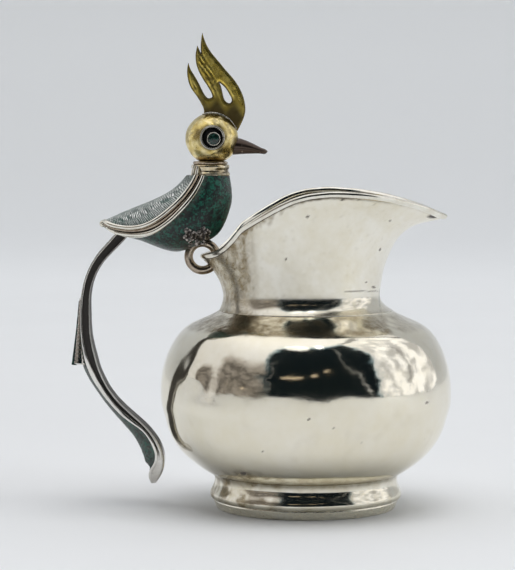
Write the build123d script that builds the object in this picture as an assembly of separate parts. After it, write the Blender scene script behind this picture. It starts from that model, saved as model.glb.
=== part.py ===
from build123d import *
import math
import os

os.makedirs("parts", exist_ok=True)

# ---------------------------------------------------------------------------
# Silver cream jug with a crested-bird handle.
# Origin: centre of the foot's underside.  +Z up, +X towards the pouring lip,
# the bird handle hangs at -X, in the jug's mid-plane (the XZ plane).
# ---------------------------------------------------------------------------

# --- driving dimensions, mm ------------------------------------------------
SHEET = 1.0            # raised silver sheet of bowl, neck and foot
FOOT_H = 2.8           # flat band under the foot
FOOT_R_TOP = 26.5      # flat band, upper edge
FOOT_R_BOT = 25.6      # flat band, lower edge
NECK_Z0 = 56.6         # solder seam between bowl and neck
NECK_R0 = 24.8         # neck radius at that seam
WAIST_Z = 61.2         # narrowest height of the neck
WAIST_R = 22.35        # narrowest neck radius
WAIST_X = -1.35        # neck waist sits a little behind the bowl's axis
RIM_FRONT = 38.9       # tip of the pouring lip, before its wire
RIM_BACK = -29.5       # pointed back of the rim, before its wire
RIM_HALF_W = 26.0      # half width of the mouth
RIM_WIRE_R = 0.75      # wire soldered round the rim

RING_X, RING_Z = -29.6, 72.0   # centre of the perch ring, the handle's pivot
RING_R = 3.95          # mean radius of the perch ring
RING_WIRE_R = 1.25     # its wire
RING_CLEAR = 0.25      # clearance round the wire where it passes the neck

HEAD_X, HEAD_Z, HEAD_R = -26.9, 105.6, 7.24
HEAD_SHEET = 0.9
EYE_X, EYE_Z = -26.6, 105.9
CREST_T = 0.9          # crest is cut from this sheet
INLAY_T = 0.8          # depth of the crushed-stone inlay
BODY_SHEET = 1.0       # silver under the inlay


def put(name, shape):
    """Write one sub-part, as a single solid or a group of solids."""
    solids = list(shape.solids())
    big = max(s.volume for s in solids)
    solids = [s for s in solids if s.volume > 0.02 * big]
    shape = solids[0] if len(solids) == 1 else Compound(children=solids)
    shape.label = name
    export_step(shape, os.path.join("parts", name + ".step"))
    return shape


def fused(parts):
    out = parts[0]
    for p in parts[1:]:
        out = out + p
    return out


def lerp(a, b, t):
    return a + (b - a) * t


def table(pts, t):
    """Piecewise-linear look-up in a list of (t, value)."""
    if t <= pts[0][0]:
        return pts[0][1]
    for (t0, v0), (t1, v1) in zip(pts, pts[1:]):
        if t <= t1:
            return lerp(v0, v1, (t - t0) / (t1 - t0))
    return pts[-1][1]


def xz_prism(pts, y0, y1):
    """Straight-edged outline in the XZ plane, extruded from y0 to y1."""
    wire = Wire.make_polygon([Vector(x, y0, z) for x, z in pts], close=True)
    return Solid.extrude(Face(wire), Vector(0, y1 - y0, 0))


# ---------------------------------------------------------------------------
# Bowl: raised sheet, round in plan
# ---------------------------------------------------------------------------
BOWL_OUT = [(24.8, 56.6), (25.7, 56.0), (28.9, 54.4), (32.6, 52.7), (35.2, 51.0),
            (37.9, 47.6), (39.6, 44.1), (40.75, 40.6), (41.35, 37.2), (41.5, 33.2),
            (41.3, 30.0), (40.45, 26.9), (39.5, 23.5), (38.0, 20.0), (35.6, 16.6),
            (31.9, 13.2), (26.9, 10.0), (20.0, 8.0), (10.0, 7.1), (0.0, 6.9)]
BOWL_IN = [(0.0, 7.9), (10.0, 8.1), (19.8, 9.0), (26.4, 10.9), (31.2, 14.0),
           (34.8, 17.2), (37.1, 20.4), (38.55, 23.8), (39.47, 27.1), (40.3, 30.1),
           (40.5, 33.2), (40.35, 37.1), (39.77, 40.3), (38.65, 43.8), (37.0, 47.1),
           (34.5, 50.3), (32.1, 51.8), (28.4, 53.5), (25.3, 55.1), (23.8, 56.6)]

with BuildPart() as bowl_b:
    with BuildSketch(Plane.XZ):
        with BuildLine():
            Spline(*BOWL_OUT, tangents=[(0.75, -0.5), (-1, 0)])
            Spline(*BOWL_IN, tangents=[(1, 0), (-0.75, 0.6)])
            Line((0.0, 6.9), (0.0, 7.9))
            Line((23.8, 56.6), (24.8, 56.6))
        make_face()
    revolve(axis=Axis.Z)
bowl = bowl_b.part

# ---------------------------------------------------------------------------
# Neck and pouring lip: one formed sheet from the seam circle up to the rim.
# u runs round the rim from the lip (0) to the pointed back (pi).
# ---------------------------------------------------------------------------
RIM_PROFILE = [(-29.5, 71.2), (-26.6, 72.2), (-25.2, 72.8), (-23.2, 74.2), (-20.6, 76.9),
               (-18.6, 79.4), (-15.2, 81.8), (-12.6, 83.4), (-9.7, 85.1), (-6.9, 86.6),
               (-3.4, 88.1), (1.1, 89.2), (6.9, 89.7), (13.2, 89.4), (21.7, 88.3),
               (28.3, 86.8), (34.0, 84.9), (37.6, 83.3), (38.9, 82.8)]
# way up the sheet: height fraction and outward fraction at the lip, side, back
G_FRONT = [(0, 0), (0.15, 0.17), (0.3, 0.34), (0.45, 0.53), (0.6, 0.72), (0.72, 0.85),
           (0.84, 0.93), (0.93, 0.965), (1, 1)]
H_FRONT = [(0, 0), (0.15, 0.03), (0.3, 0.07), (0.45, 0.15), (0.6, 0.27), (0.72, 0.42),
           (0.84, 0.62), (0.93, 0.82), (1, 1)]
H_SIDE = [(0, 0), (0.15, 0.01), (0.3, 0.04), (0.45, 0.12), (0.6, 0.26), (0.72, 0.42),
          (0.84, 0.64), (0.93, 0.84), (1, 1)]
H_BACK = [(0, 0), (0.15, 0.06), (0.3, 0.14), (0.45, 0.26), (0.6, 0.42), (0.72, 0.57),
          (0.84, 0.75), (0.93, 0.89), (1, 1)]


def rim_point(u):
    cx, hx = (RIM_FRONT + RIM_BACK) / 2, (RIM_FRONT - RIM_BACK) / 2
    c, s = math.cos(u), math.sin(u)
    x = cx + hx * c
    lead = 0.60 if c > 0 else 0.50
    y = RIM_HALF_W * s * (1 - lead * abs(c) ** 3.2)
    return x, y, table(RIM_PROFILE, x)


def neck_outer(u, v):
    """Outer face of the neck; v = 0 at the seam, 1 at the rim."""
    c, s = math.cos(u), math.sin(u)
    if v <= 0.16:                       # little concave flare on the bowl
        f = v / 0.16
        k = (1 - f) ** 2.2
        r = lerp(WAIST_R, NECK_R0, k)
        x = WAIST_X * (1 - k) + r * c
        return x, r * s, lerp(NECK_Z0, WAIST_Z, f)
    f = (v - 0.16) / 0.84
    bx, by = WAIST_X + WAIST_R * c, WAIST_R * s
    rx, ry, rz = rim_point(u)
    wf = max(0.0, c) ** 1.6
    wb = max(0.0, -c) ** 2.0
    ws = max(0.0, 1 - wf - wb)
    h = wf * table(H_FRONT, f) + ws * table(H_SIDE, f) + wb * table(H_BACK, f)
    g = wf * table(G_FRONT, f) + (1 - wf) * f
    return lerp(bx, rx, h), lerp(by, ry, h), lerp(WAIST_Z, rz, g)


def neck_inner(u, v, t=SHEET):
    e = 1e-3
    v0, v1 = max(0.0, v - e), min(1.0, v + e)
    a = Vector(*neck_outer(u + e, v)) - Vector(*neck_outer(u - e, v))
    b = Vector(*neck_outer(u, v1)) - Vector(*neck_outer(u, v0))
    n = a.cross(b).normalized()          # points out of the jug everywhere
    q = Vector(*neck_outer(u, v)) - n * t
    if v <= 0:
        q = Vector(q.X, q.Y, NECK_Z0)
    return q


V_STEPS = [0.0, 0.06, 0.12, 0.20, 0.34, 0.50, 0.66, 0.80, 0.92, 1.0]
N_U = 14


def wall_section(u):
    outer = [Vector(*neck_outer(u, v)) for v in V_STEPS]
    inner = [neck_inner(u, v) for v in V_STEPS]
    if u < 1e-9 or u > math.pi - 1e-9:
        outer = [Vector(p.X, 0, p.Z) for p in outer]
        inner = [Vector(p.X, 0, p.Z) for p in inner]
    return Wire([Edge.make_spline(outer), Edge.make_line(outer[-1], inner[-1]),
                 Edge.make_spline(inner[::-1]), Edge.make_line(inner[0], outer[0])])


us = [math.pi * (k / N_U) for k in range(N_U + 1)]
neck_half = Solid.make_loft([wall_section(u) for u in us])

# wire soldered along the rim, standing on the sheet's edge
N_RIM = 24
rim_pts, rim_up = [], []
for k in range(0, N_RIM + 1):
    u = math.pi * k / N_RIM
    m = (Vector(*neck_outer(u, 1.0)) + neck_inner(u, 1.0)) * 0.5
    up = (Vector(*neck_outer(u, 1.0)) - Vector(*neck_outer(u, 0.97))).normalized()
    m = m + up * (RIM_WIRE_R + 0.06)
    rim_pts.append(Vector(m.X, 0 if k in (0, N_RIM) else m.Y, m.Z))
    rim_up.append(up)
rim_secs = []
for k in range(0, N_RIM + 1):
    t = Vector(0, 1, 0) if k == 0 else Vector(0, -1, 0) if k == N_RIM else \
        (rim_pts[k + 1] - rim_pts[k - 1]).normalized()
    x = (rim_up[k] - t * rim_up[k].dot(t)).normalized()
    y = t.cross(x)
    rim_secs.append(Wire.make_polygon(
        [rim_pts[k] + x * (RIM_WIRE_R * math.cos(math.pi * j / 6))
         + y * (RIM_WIRE_R * math.sin(math.pi * j / 6)) for j in range(12)], close=True))
rim_half = Solid.make_loft(rim_secs)
rim_wire = rim_half + mirror(rim_half, about=Plane.XZ)
rim_wire = rim_wire - neck_half - mirror(neck_half, about=Plane.XZ)

# the perch ring is threaded through a round hole under the back of the rim
ring_plane = Plane(origin=(RING_X, 0, RING_Z), z_dir=(0, 1, 0), x_dir=(1, 0, 0))
perch_ring = ring_plane * Solid.make_torus(RING_R, RING_WIRE_R)
ring_gap = ring_plane * Solid.make_torus(RING_R, RING_WIRE_R + RING_CLEAR)
neck_half = neck_half - ring_gap
neck = neck_half + mirror(neck_half, about=Plane.XZ)

# ---------------------------------------------------------------------------
# Foot: waisted collar and a flat band that it stands on
# ---------------------------------------------------------------------------
with BuildPart() as foot_b:
    with BuildSketch(Plane.XZ):
        with BuildLine():
            Spline((26.9, 10.6), (26.1, 8.6), (26.5, 6.4), (27.4, 4.4), (27.0, FOOT_H))
            Line((27.0, FOOT_H), (24.6, FOOT_H))
            Spline((24.6, FOOT_H), (25.9, 4.6), (25.4, 6.4), (25.1, 8.6), (25.3, 10.6))
            Line((25.3, 10.6), (26.9, 10.6))
        make_face()
    revolve(axis=Axis.Z)
foot_collar = foot_b.part - bowl

with BuildPart() as base_b:
    with BuildSketch(Plane.XZ):
        with BuildLine():
            Polyline((23.2, 0), (FOOT_R_BOT - 0.5, 0), (FOOT_R_BOT, 0.5),
                     (FOOT_R_TOP, FOOT_H - 0.4), (FOOT_R_TOP - 0.2, FOOT_H),
                     (23.2, FOOT_H), close=True)
        make_face()
    revolve(axis=Axis.Z)
foot_base_ring = base_b.part

# ---------------------------------------------------------------------------
# Bird's body: chords from back to belly, and half widths, from neck to rump
# ---------------------------------------------------------------------------
CHORDS = [((-33.9, 95.2), (-21.9, 95.2), 5.8),
          ((-36.2, 92.6), (-21.25, 91.4), 7.1),
          ((-39.4, 90.2), (-21.35, 87.3), 8.1),
          ((-42.4, 88.6), (-22.75, 82.6), 8.8),
          ((-45.1, 87.4), (-25.7, 77.9), 9.1),
          ((-47.6, 86.4), (-30.8, 75.3), 9.0),
          ((-50.0, 85.4), (-36.5, 73.4), 8.4),
          ((-52.4, 84.4), (-43.0, 74.9), 7.1),
          ((-54.6, 83.4), (-48.5, 76.9), 5.6),
          ((-56.4, 82.6), (-52.3, 77.9), 4.2),
          ((-57.7, 81.9), (-55.6, 79.7), 2.5),
          ((-58.2, 81.5), (-57.5, 80.8), 0.8)]


def body_loft(off, last):
    secs = []
    for (x0, z0), (x1, z1), w in CHORDS[:last]:
        dx, dz = x1 - x0, z1 - z0
        ln = math.hypot(dx, dz)
        d = Vector(dx / ln, 0, dz / ln)
        c = Vector((x0 + x1) / 2, 0, (z0 + z1) / 2)
        n = d.cross(Vector(0, 1, 0))
        a, b = ln / 2 + off, w + off
        pl = Plane(origin=c, x_dir=d, z_dir=n)
        secs.append(Wire([Edge.make_ellipse(a, b, pl)]) if a >= b else
                    Wire([Edge.make_ellipse(b, a, Plane(origin=c, x_dir=(0, 1, 0), z_dir=n))]))
    return Solid.make_loft(secs)


def same_start(off, last, npts=24):
    """Sections as closed splines, all starting at the back ridge."""
    secs = []
    for (x0, z0), (x1, z1), w in CHORDS[:last]:
        dx, dz = x1 - x0, z1 - z0
        ln = math.hypot(dx, dz)
        c = Vector((x0 + x1) / 2, 0, (z0 + z1) / 2)
        d = Vector(dx / ln, 0, dz / ln)
        a, b = ln / 2 + off, w + off
        pts = []
        for k in range(npts):
            t = 2 * math.pi * k / npts
            pts.append(c + d * (-a * math.cos(t)) + Vector(0, b * math.sin(t), 0))
        secs.append(Wire([Edge.make_spline(pts, periodic=True)]))
    return Solid.make_loft(secs)


skin = same_start(0.0, 12)
skin_wire = same_start(0.5, 12)
under = same_start(-INLAY_T, 11)
cavity = same_start(-INLAY_T - BODY_SHEET, 9)

INNER_B = [(-60.0, 83.6), (-58.2, 82.4), (-56.6, 81.6), (-54.5, 80.95), (-50.8, 80.5),
           (-47.2, 80.8), (-43.5, 82.2), (-39.9, 84.7), (-36.2, 88.0), (-33.3, 91.6),
           (-31.6, 94.6), (-30.6, 97.5)]
OUTER_B = [(-60.0, 81.4), (-58.0, 80.9), (-56.3, 80.1), (-53.8, 79.0), (-50.8, 78.5),
           (-47.2, 78.5), (-44.3, 79.1), (-41.4, 80.5), (-38.1, 83.0), (-34.8, 86.3),
           (-32.6, 88.9), (-30.8, 91.7), (-29.6, 94.2), (-28.6, 97.5)]


def offset_line(pts, d):
    out = []
    for k, (x, z) in enumerate(pts):
        x0, z0 = pts[max(0, k - 1)]
        x1, z1 = pts[min(len(pts) - 1, k + 1)]
        ln = math.hypot(x1 - x0, z1 - z0)
        out.append((x - (z1 - z0) / ln * d, z + (x1 - x0) / ln * d))
    return out


band_in = offset_line(INNER_B, 0.5), offset_line(INNER_B, -0.5)
band_out = offset_line(OUTER_B, 0.55), offset_line(OUTER_B, -0.55)


def curved_prism(edges, y0, y1):
    """Edges are lists of (x, z): two points a line, more a spline."""
    es = [Edge.make_spline([Vector(x, y0, z) for x, z in e]) if len(e) > 2 else
          Edge.make_line(*[Vector(x, y0, z) for x, z in e]) for e in edges]
    return Solid.extrude(Face(Wire(es)), Vector(0, y1 - y0, 0))


def band(pair, y0, y1):
    up, dn = pair
    return curved_prism([up, [up[-1], dn[-1]], dn[::-1], [dn[0], up[0]]], y0, y1)


shell_zone = skin_wire - under
border_inner_left = shell_zone & band(band_in, 0.0, 16)
border_inner_right = shell_zone & band(band_in, -16, 0.0)
border_outer_left = shell_zone & band(band_out, 0.0, 16)
border_outer_right = shell_zone & band(band_out, -16, 0.0)

layer = skin - under
bi, bo = band_in[0], band_out[1]
back_zone = curved_prism([bi, [bi[-1], (-31.4, 104)], [(-31.4, 104), (-64, 104)],
                          [(-64, 104), bi[0]]], -16, 16)
belly_zone = curved_prism([bo, [bo[-1], (-12, 97.5)], [(-12, 97.5), (-12, 66)],
                           [(-12, 66), (-62, 66)], [(-62, 66), bo[0]]], -16, 16)
back_inlay = layer & back_zone
body_inlay = layer & belly_zone
body_shell = under - cavity

body_inlay = body_inlay - perch_ring
body_shell = body_shell - perch_ring

# ---------------------------------------------------------------------------
# Tail: one long strap of two silver sheets with a recessed edge, curving down
# clear of the bowl.  Stations: centre x, z, outward direction in degrees,
# outward reach, inward reach, crown of the inlay, half width.
# ---------------------------------------------------------------------------
TAIL = [(-51.6, 79.2, 136.0, 1.70, 1.60, 0.30, 2.8),
        (-53.4, 77.3, 137.0, 1.65, 1.55, 0.30, 3.0),
        (-55.7, 74.8, 138.4, 1.60, 1.45, 0.30, 3.3),
        (-58.1, 71.9, 143.5, 1.70, 1.20, 0.30, 3.6),
        (-60.1, 68.8, 151.9, 1.68, 1.05, 0.30, 3.9),
        (-61.6, 65.4, 161.5, 1.62, 1.05, 0.35, 4.1),
        (-62.5, 61.8, 169.5, 1.60, 1.15, 0.45, 4.3),
        (-62.95, 58.07, 175.0, 1.70, 1.40, 0.60, 4.5),
        (-63.1, 54.3, 178.9, 1.85, 1.62, 0.80, 4.7),
        (-63.05, 50.6, 183.2, 2.10, 1.75, 1.00, 4.9),
        (-62.7, 46.8, 188.5, 2.35, 1.98, 1.20, 5.1),
        (-61.95, 43.2, 194.9, 2.55, 2.10, 1.30, 5.2),
        (-60.8, 39.6, 202.0, 2.45, 2.00, 1.25, 5.1),
        (-59.2, 36.25, 209.0, 2.15, 1.85, 1.10, 4.9),
        (-57.2, 33.1, 215.0, 2.03, 1.65, 1.10, 4.7),
        (-54.9, 30.1, 219.7, 2.09, 1.67, 1.25, 4.7),
        (-52.4, 27.3, 222.0, 2.19, 1.88, 1.45, 4.8),
        (-49.85, 24.55, 221.5, 2.27, 2.20, 1.70, 5.1),
        (-47.45, 21.7, 216.3, 2.36, 2.65, 2.00, 5.4),
        (-45.45, 18.55, 206.7, 2.50, 3.15, 2.25, 5.6),
        (-44.15, 15.15, 194.5, 2.50, 3.45, 2.20, 5.4),
        (-43.6, 11.6, 184.0, 2.20, 3.00, 1.70, 4.6)]
FLANGE = 0.75          # silver sheets of the tail
GROOVE = 1.0           # depth of the recess along the tail's edges
LIP_W, LIP_H = 0.7, 0.35


def tail_pt(st, n, y):
    x, z, ang = st[0], st[1], math.radians(st[2])
    return Vector(x + math.cos(ang) * n, y, z + math.sin(ang) * n)


def tail_strap_wire(st):
    to, ti, c, w = st[3], st[4], st[5], st[6]
    no = to - c
    half = [(-ti, w), (-ti + FLANGE, w), (-ti + FLANGE, w - GROOVE), (no - FLANGE, w - GROOVE),
            (no - FLANGE, w), (no + LIP_H, w), (no + LIP_H, w - LIP_W), (no, w - LIP_W)]
    pts = [tail_pt(st, n, y) for n, y in half] + [tail_pt(st, n, -y) for n, y in half[::-1]]
    return Wire.make_polygon(pts, close=True)


def tail_crown_wire(st, lift=1.0):
    to, c, w = st[3], st[5], st[6]
    no = to - c
    b = w - LIP_W
    a, m, e = tail_pt(st, no, -b), tail_pt(st, no + c * lift, 0), tail_pt(st, no, b)
    arc = Edge.make_spline([a, tail_pt(st, no + c * lift * 0.72, -b * 0.6), m,
                            tail_pt(st, no + c * lift * 0.72, b * 0.6), e])
    return Wire([arc, Edge.make_line(e, a)])


tail_strap = Solid.make_loft([tail_strap_wire(s) for s in TAIL])
crown_all = Solid.make_loft([tail_crown_wire(s) for s in TAIL[:-1]] +
                            [tail_crown_wire(TAIL[-1], 0.35)])

# rounded silver lip closing the spoon-shaped lower end
END = [(-43.6, 11.6, 184.0, 2.20, 3.00, 4.6), (-43.6, 10.4, 183.0, 1.95, 2.60, 4.2),
       (-43.65, 9.0, 182.0, 1.60, 2.00, 3.5), (-43.7, 7.7, 181.0, 1.15, 1.35, 2.5),
       (-43.75, 6.8, 180.0, 0.60, 0.70, 1.3)]


def end_wire(s):
    x, z, ang, to, ti, w = s
    a = math.radians(ang)
    cx = x + math.cos(a) * (to - ti) / 2
    cz = z + math.sin(a) * (to - ti) / 2
    d = Vector(math.cos(a), 0, math.sin(a))
    pts = []
    for k in range(20):
        t = 2 * math.pi * k / 20
        sx = math.copysign(abs(math.cos(t)) ** 0.8, math.cos(t))
        sy = math.copysign(abs(math.sin(t)) ** 0.8, math.sin(t))
        pts.append(Vector(cx, 0, cz) + d * ((to + ti) / 2 * sx) + Vector(0, w * sy, 0))
    return Wire([Edge.make_spline(pts, periodic=True)])


tail_end = Solid.make_loft([end_wire(s) for s in END])
tail_strap = tail_strap + tail_end
tail_strap = tail_strap - skin
crown_all = crown_all - skin - tail_strap

border_outer_left = border_outer_left - tail_strap - crown_all
border_outer_right = border_outer_right - tail_strap - crown_all

# feather barb standing off the outer face, half way down: a wedge that widens
# downward, seated on the crown of the strap, with a thin stone face
BARB_TOP, BARB_BOT = 60.0, 41.2
BARB_X = (-64.78, -66.6)        # outer face at the top and at the bottom
BARB_W = (2.0, 4.6)             # half widths at the top and at the bottom
BARB_FACE = (0.12, 0.6)         # thickness of its stone at the top and at the bottom


def front_prism(x0, x1, z0, z1, w0, w1):
    """Flat-sided block seen from the front as a trapezoid, from x0 to x1."""
    pts = [(x0, -w0, z0), (x0, w0, z0), (x0, w1, z1), (x0, -w1, z1)]
    return extrude(Face(Wire.make_polygon([Vector(*q) for q in pts], close=True)),
                   amount=x1 - x0, dir=(1, 0, 0))


def side_prism(pts, y0, y1):
    """Flat-sided block seen from the side as a polygon, from y0 to y1."""
    return extrude(Face(Wire.make_polygon([Vector(x, y0, z) for x, z in pts], close=True)),
                   amount=y1 - y0, dir=(0, 1, 0))


seat = [tail_pt(s, s[3] + 0.14, 0) for s in TAIL[4:14]]
strap_space = side_prism([(q.X, q.Z) for q in seat] + [(-50, seat[-1].Z), (-50, seat[0].Z)], -8, 8)
barb_all = side_prism([(BARB_X[0], BARB_TOP), (BARB_X[1], BARB_BOT), (-60.5, BARB_BOT), (-60.5, BARB_TOP)], -8, 8)
barb_all = barb_all & front_prism(-68, -60, BARB_TOP, BARB_BOT, BARB_W[0], BARB_W[1])
barb_all = barb_all - strap_space
barb_all = max(barb_all.solids(), key=lambda s: s.volume)
FACE_TOP, FACE_BOT = 58.0, 42.0
slope = (BARB_X[1] - BARB_X[0]) / (BARB_TOP - BARB_BOT)
face_x0 = BARB_X[0] + slope * (BARB_TOP - FACE_TOP) + BARB_FACE[0]
face_x1 = BARB_X[0] + slope * (BARB_TOP - FACE_BOT) + BARB_FACE[1]
face_block = side_prism([(face_x0, FACE_TOP), (face_x1, FACE_BOT), (-68, FACE_BOT), (-68, FACE_TOP)], -8, 8)
face_block = face_block & front_prism(-68, -60, FACE_TOP, FACE_BOT, 1.6, 4.0)
barb_inlay = barb_all & face_block
tail_barb = barb_all - face_block

split_z = 41.5
box_up = Pos(-60, 0, split_z + 30) * Box(60, 30, 60)
box_dn = Pos(-60, 0, split_z - 30) * Box(60, 30, 60)
tail_inlay_upper = crown_all & box_up
tail_inlay_lower = crown_all & box_dn

# ---------------------------------------------------------------------------
# Claws: three toes a side, from the belly down round the ring
# ---------------------------------------------------------------------------
def toe(p0, p1, r0, r1):
    a, b = Vector(*p0), Vector(*p1)
    d = b - a
    cone = Plane(origin=a, z_dir=d) * Solid.make_cone(r0, r1, d.length)
    return (cone + Pos(*p0) * Solid.make_sphere(r0, angle1=-90, angle2=90)
            + Pos(*p1) * Solid.make_sphere(r1, angle1=-90, angle2=90))


claw = None
for pts in (((-31.6, -6.9, 79.4), (-32.6, -5.0, 76.6), (-33.0, -1.9, 74.9)),
            ((-30.4, -6.9, 79.6), (-30.9, -4.6, 77.2), (-31.1, -1.9, 75.8)),
            ((-29.3, -6.7, 79.9), (-29.0, -4.4, 77.6), (-28.9, -1.9, 76.1))):
    t = toe(pts[0], pts[1], 1.25, 1.0) + toe(pts[1], pts[2], 1.0, 0.75)
    claw = t if claw is None else claw + t
claw = claw - skin - perch_ring
claw = max(claw.solids(), key=lambda s: s.volume)
perch_claw_right = claw
perch_claw_left = mirror(claw, about=Plane.XZ)

# ---------------------------------------------------------------------------
# Collar, post and hollow ball head
# ---------------------------------------------------------------------------
COL_X = -27.6
with BuildPart() as col_b:
    with BuildSketch(Plane.XZ):
        with BuildLine():
            l1 = Line((4.3, 95.2), (5.5, 95.2))
            l2 = Spline((5.5, 95.2), (5.2, 96.7), (5.35, 98.2))
            l3 = Line((5.35, 98.2), (4.3, 98.2))
            l4 = Line((4.3, 98.2), (4.3, 95.2))
        make_face()
    revolve(axis=Axis.Z)
neck_collar = Pos(COL_X, 0, 0) * col_b.part

with BuildPart() as bead_b:
    with BuildSketch(Plane.XZ):
        with Locations((3.6, 98.2 + 0.45)):
            Rectangle(2.6, 0.9)
        fillet(vertices().sort_by(Axis.X)[-2:], 0.4)
    revolve(axis=Axis.Z)
collar_bead = Pos(COL_X, 0, 0) * bead_b.part

head_post = Pos(COL_X, 0, 91.0) * Solid.make_cylinder(1.3, 11.2)
post_plate = Pos(COL_X, 0, 95.2) * Solid.make_cylinder(4.3, 0.8)
head_post = head_post + post_plate

ball = Pos(HEAD_X, 0, HEAD_Z) * Solid.make_sphere(HEAD_R, angle1=-90, angle2=90)
ball_in = Pos(HEAD_X, 0, HEAD_Z) * Solid.make_sphere(HEAD_R - HEAD_SHEET, angle1=-90, angle2=90)
head = ball - ball_in
head = head - collar_bead - (Pos(COL_X, 0, 96) * Solid.make_cylinder(2.3, 5))
low_cut = Pos(COL_X, 0, 95) * Solid.make_cylinder(9, 4.1)
head = head - low_cut
head = max(head.solids(), key=lambda s: s.volume)

# eyes: bezel, dark well, thin inner ring and a domed stone, both sides
def eye(side):
    pl = Plane(origin=(EYE_X, 0, EYE_Z), z_dir=(0, side, 0))
    base = 5.6
    tube = pl * (Pos(0, 0, base) * (Solid.make_cylinder(3.5, 1.9) - Solid.make_cylinder(2.8, 1.9)))
    well = pl * (Pos(0, 0, base) * Solid.make_cylinder(2.8, 0.9))
    inner = pl * (Pos(0.35, -0.3, base + 0.9) * (Solid.make_cylinder(1.95, 0.75) - Solid.make_cylinder(1.62, 0.75)))
    dome = pl * (Pos(0.35, -0.3, base + 0.9) * (Solid.make_cylinder(1.62, 0.55)))
    cap = Pos(EYE_X, 0, EYE_Z) * Solid.make_sphere(8.6, angle1=-90, angle2=90)
    return tube, well, inner, dome


eye_parts = {}
for nm, side in (("left", 1), ("right", -1)):
    tube, well, inner, dome = eye(side)
    bezel = tube + well
    eye_parts[nm] = (bezel, inner, dome)
    head = head - (Plane(origin=(EYE_X, 0, EYE_Z), z_dir=(0, side, 0)) *
                   (Pos(0, 0, 5.0) * Solid.make_cylinder(3.5, 5)))

# crest: one pierced sheet standing in the head's seam
CREST = [(-29.57, 135.76), (-28.6, 132.8), (-27.0, 130.0), (-25.0, 127.6), (-23.02, 125.18),
         (-21.0, 122.9), (-19.3, 120.5), (-18.0, 117.7), (-17.4, 115.2), (-17.4, 113.0),
         (-18.25, 110.4), (-19.5, 107.9), (-21.4, 107.0), (-24.0, 110.4), (-27.0, 111.4),
         (-29.6, 111.0), (-29.23, 112.4), (-29.11, 113.6), (-29.77, 115.37), (-31.23, 117.77),
         (-32.5, 119.5), (-33.35, 121.3), (-33.8, 123.3), (-33.86, 125.3), (-33.52, 127.16),
         (-32.9, 125.3), (-32.03, 123.84), (-30.9, 121.9), (-29.89, 119.9), (-28.7, 117.7),
         (-28.1, 117.2), (-27.3, 117.1), (-26.7, 117.4), (-26.8, 118.2), (-27.6, 119.7),
         (-29.63, 122.9), (-30.7, 125.0), (-31.3, 127.0), (-31.45, 129.4), (-30.97, 132.05),
         (-30.4, 130.8), (-29.95, 130.3), (-29.95, 132.0), (-29.8, 134.0)]
HOLE = [(-24.7, 121.5), (-24.1, 119.8), (-23.6, 117.6), (-23.1, 116.4), (-22.4, 115.8),
        (-21.7, 115.7), (-21.2, 116.3), (-21.4, 117.3), (-22.1, 118.6), (-23.3, 120.3)]
crest = xz_prism(CREST, -CREST_T / 2, CREST_T / 2) - xz_prism(HOLE, -2, 2)
slot = Pos(-24.4, 0, 112) * Box(12.6, CREST_T, 14)
crest = crest - ball_in
head = head - crest

# narrow saddle strip soldered over the joint of crest and head
saddle = (Pos(HEAD_X, 0, HEAD_Z) * Solid.make_sphere(HEAD_R + 0.45, angle1=-90, angle2=90)) - ball
saddle_zone = xz_prism([(-30.4, 110.0), (-30.4, 116), (-16, 116), (-18.6, 107.4), (-24, 104)],
                       -1.25, 1.25)
crest_saddle = (saddle & saddle_zone) - crest
head_left = head & (Pos(HEAD_X, 15, HEAD_Z) * Box(40, 30, 40))
head_right = head & (Pos(HEAD_X, -15, HEAD_Z) * Box(40, 30, 40))

# beak: tapered, soldered on the ball
BEAK = [((-21.8, 105.9), (-22.0, 101.0), 2.5), ((-19.2, 106.0), (-19.9, 101.1), 2.4),
        ((-17.0, 105.5), (-17.3, 101.35), 2.0), ((-14.6, 104.5), (-15.0, 101.35), 1.55),
        ((-12.4, 103.1), (-12.8, 101.3), 0.95), ((-11.4, 102.2), (-11.55, 101.65), 0.35)]
secs = []
for (x0, z0), (x1, z1), w in BEAK:
    dx, dz = x1 - x0, z1 - z0
    ln = math.hypot(dx, dz)
    c = Vector((x0 + x1) / 2, 0, (z0 + z1) / 2)
    d = Vector(dx / ln, 0, dz / ln)
    pts = [c + d * (-ln / 2 * math.cos(2 * math.pi * k / 16))
           + Vector(0, w * math.sin(2 * math.pi * k / 16), 0) for k in range(16)]
    secs.append(Wire([Edge.make_spline(pts, periodic=True)]))
beak = Solid.make_loft(secs) - ball

# ---------------------------------------------------------------------------
# Write one file per sub-part
# ---------------------------------------------------------------------------
put("bowl", bowl)
put("neck_and_lip", neck)
put("rim_wire", rim_wire)
put("foot_collar", foot_collar)
put("foot_base_ring", foot_base_ring)
put("perch_ring", perch_ring)
put("perch_claw_left", perch_claw_left)
put("perch_claw_right", perch_claw_right)
put("body_shell", body_shell)
put("body_inlay", body_inlay)
put("back_inlay", back_inlay)
put("border_inner_left", border_inner_left)
put("border_inner_right", border_inner_right)
put("border_outer_left", border_outer_left)
put("border_outer_right", border_outer_right)
put("neck_collar", neck_collar)
put("collar_bead", collar_bead)
put("head_post", head_post)
put("head_half_left", head_left)
put("head_half_right", head_right)
for nm in ("left", "right"):
    bezel, inner, dome = eye_parts[nm]
    put("eye_bezel_" + nm, bezel)
    put("eye_ring_" + nm, inner)
    put("eye_stone_" + nm, dome)
put("beak", beak)
put("crest", crest)
put("crest_saddle", crest_saddle)
put("tail_strap", tail_strap)
put("tail_inlay_upper", tail_inlay_upper)
put("tail_inlay_lower", tail_inlay_lower)
put("tail_barb", tail_barb)
put("barb_inlay", barb_inlay)
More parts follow.
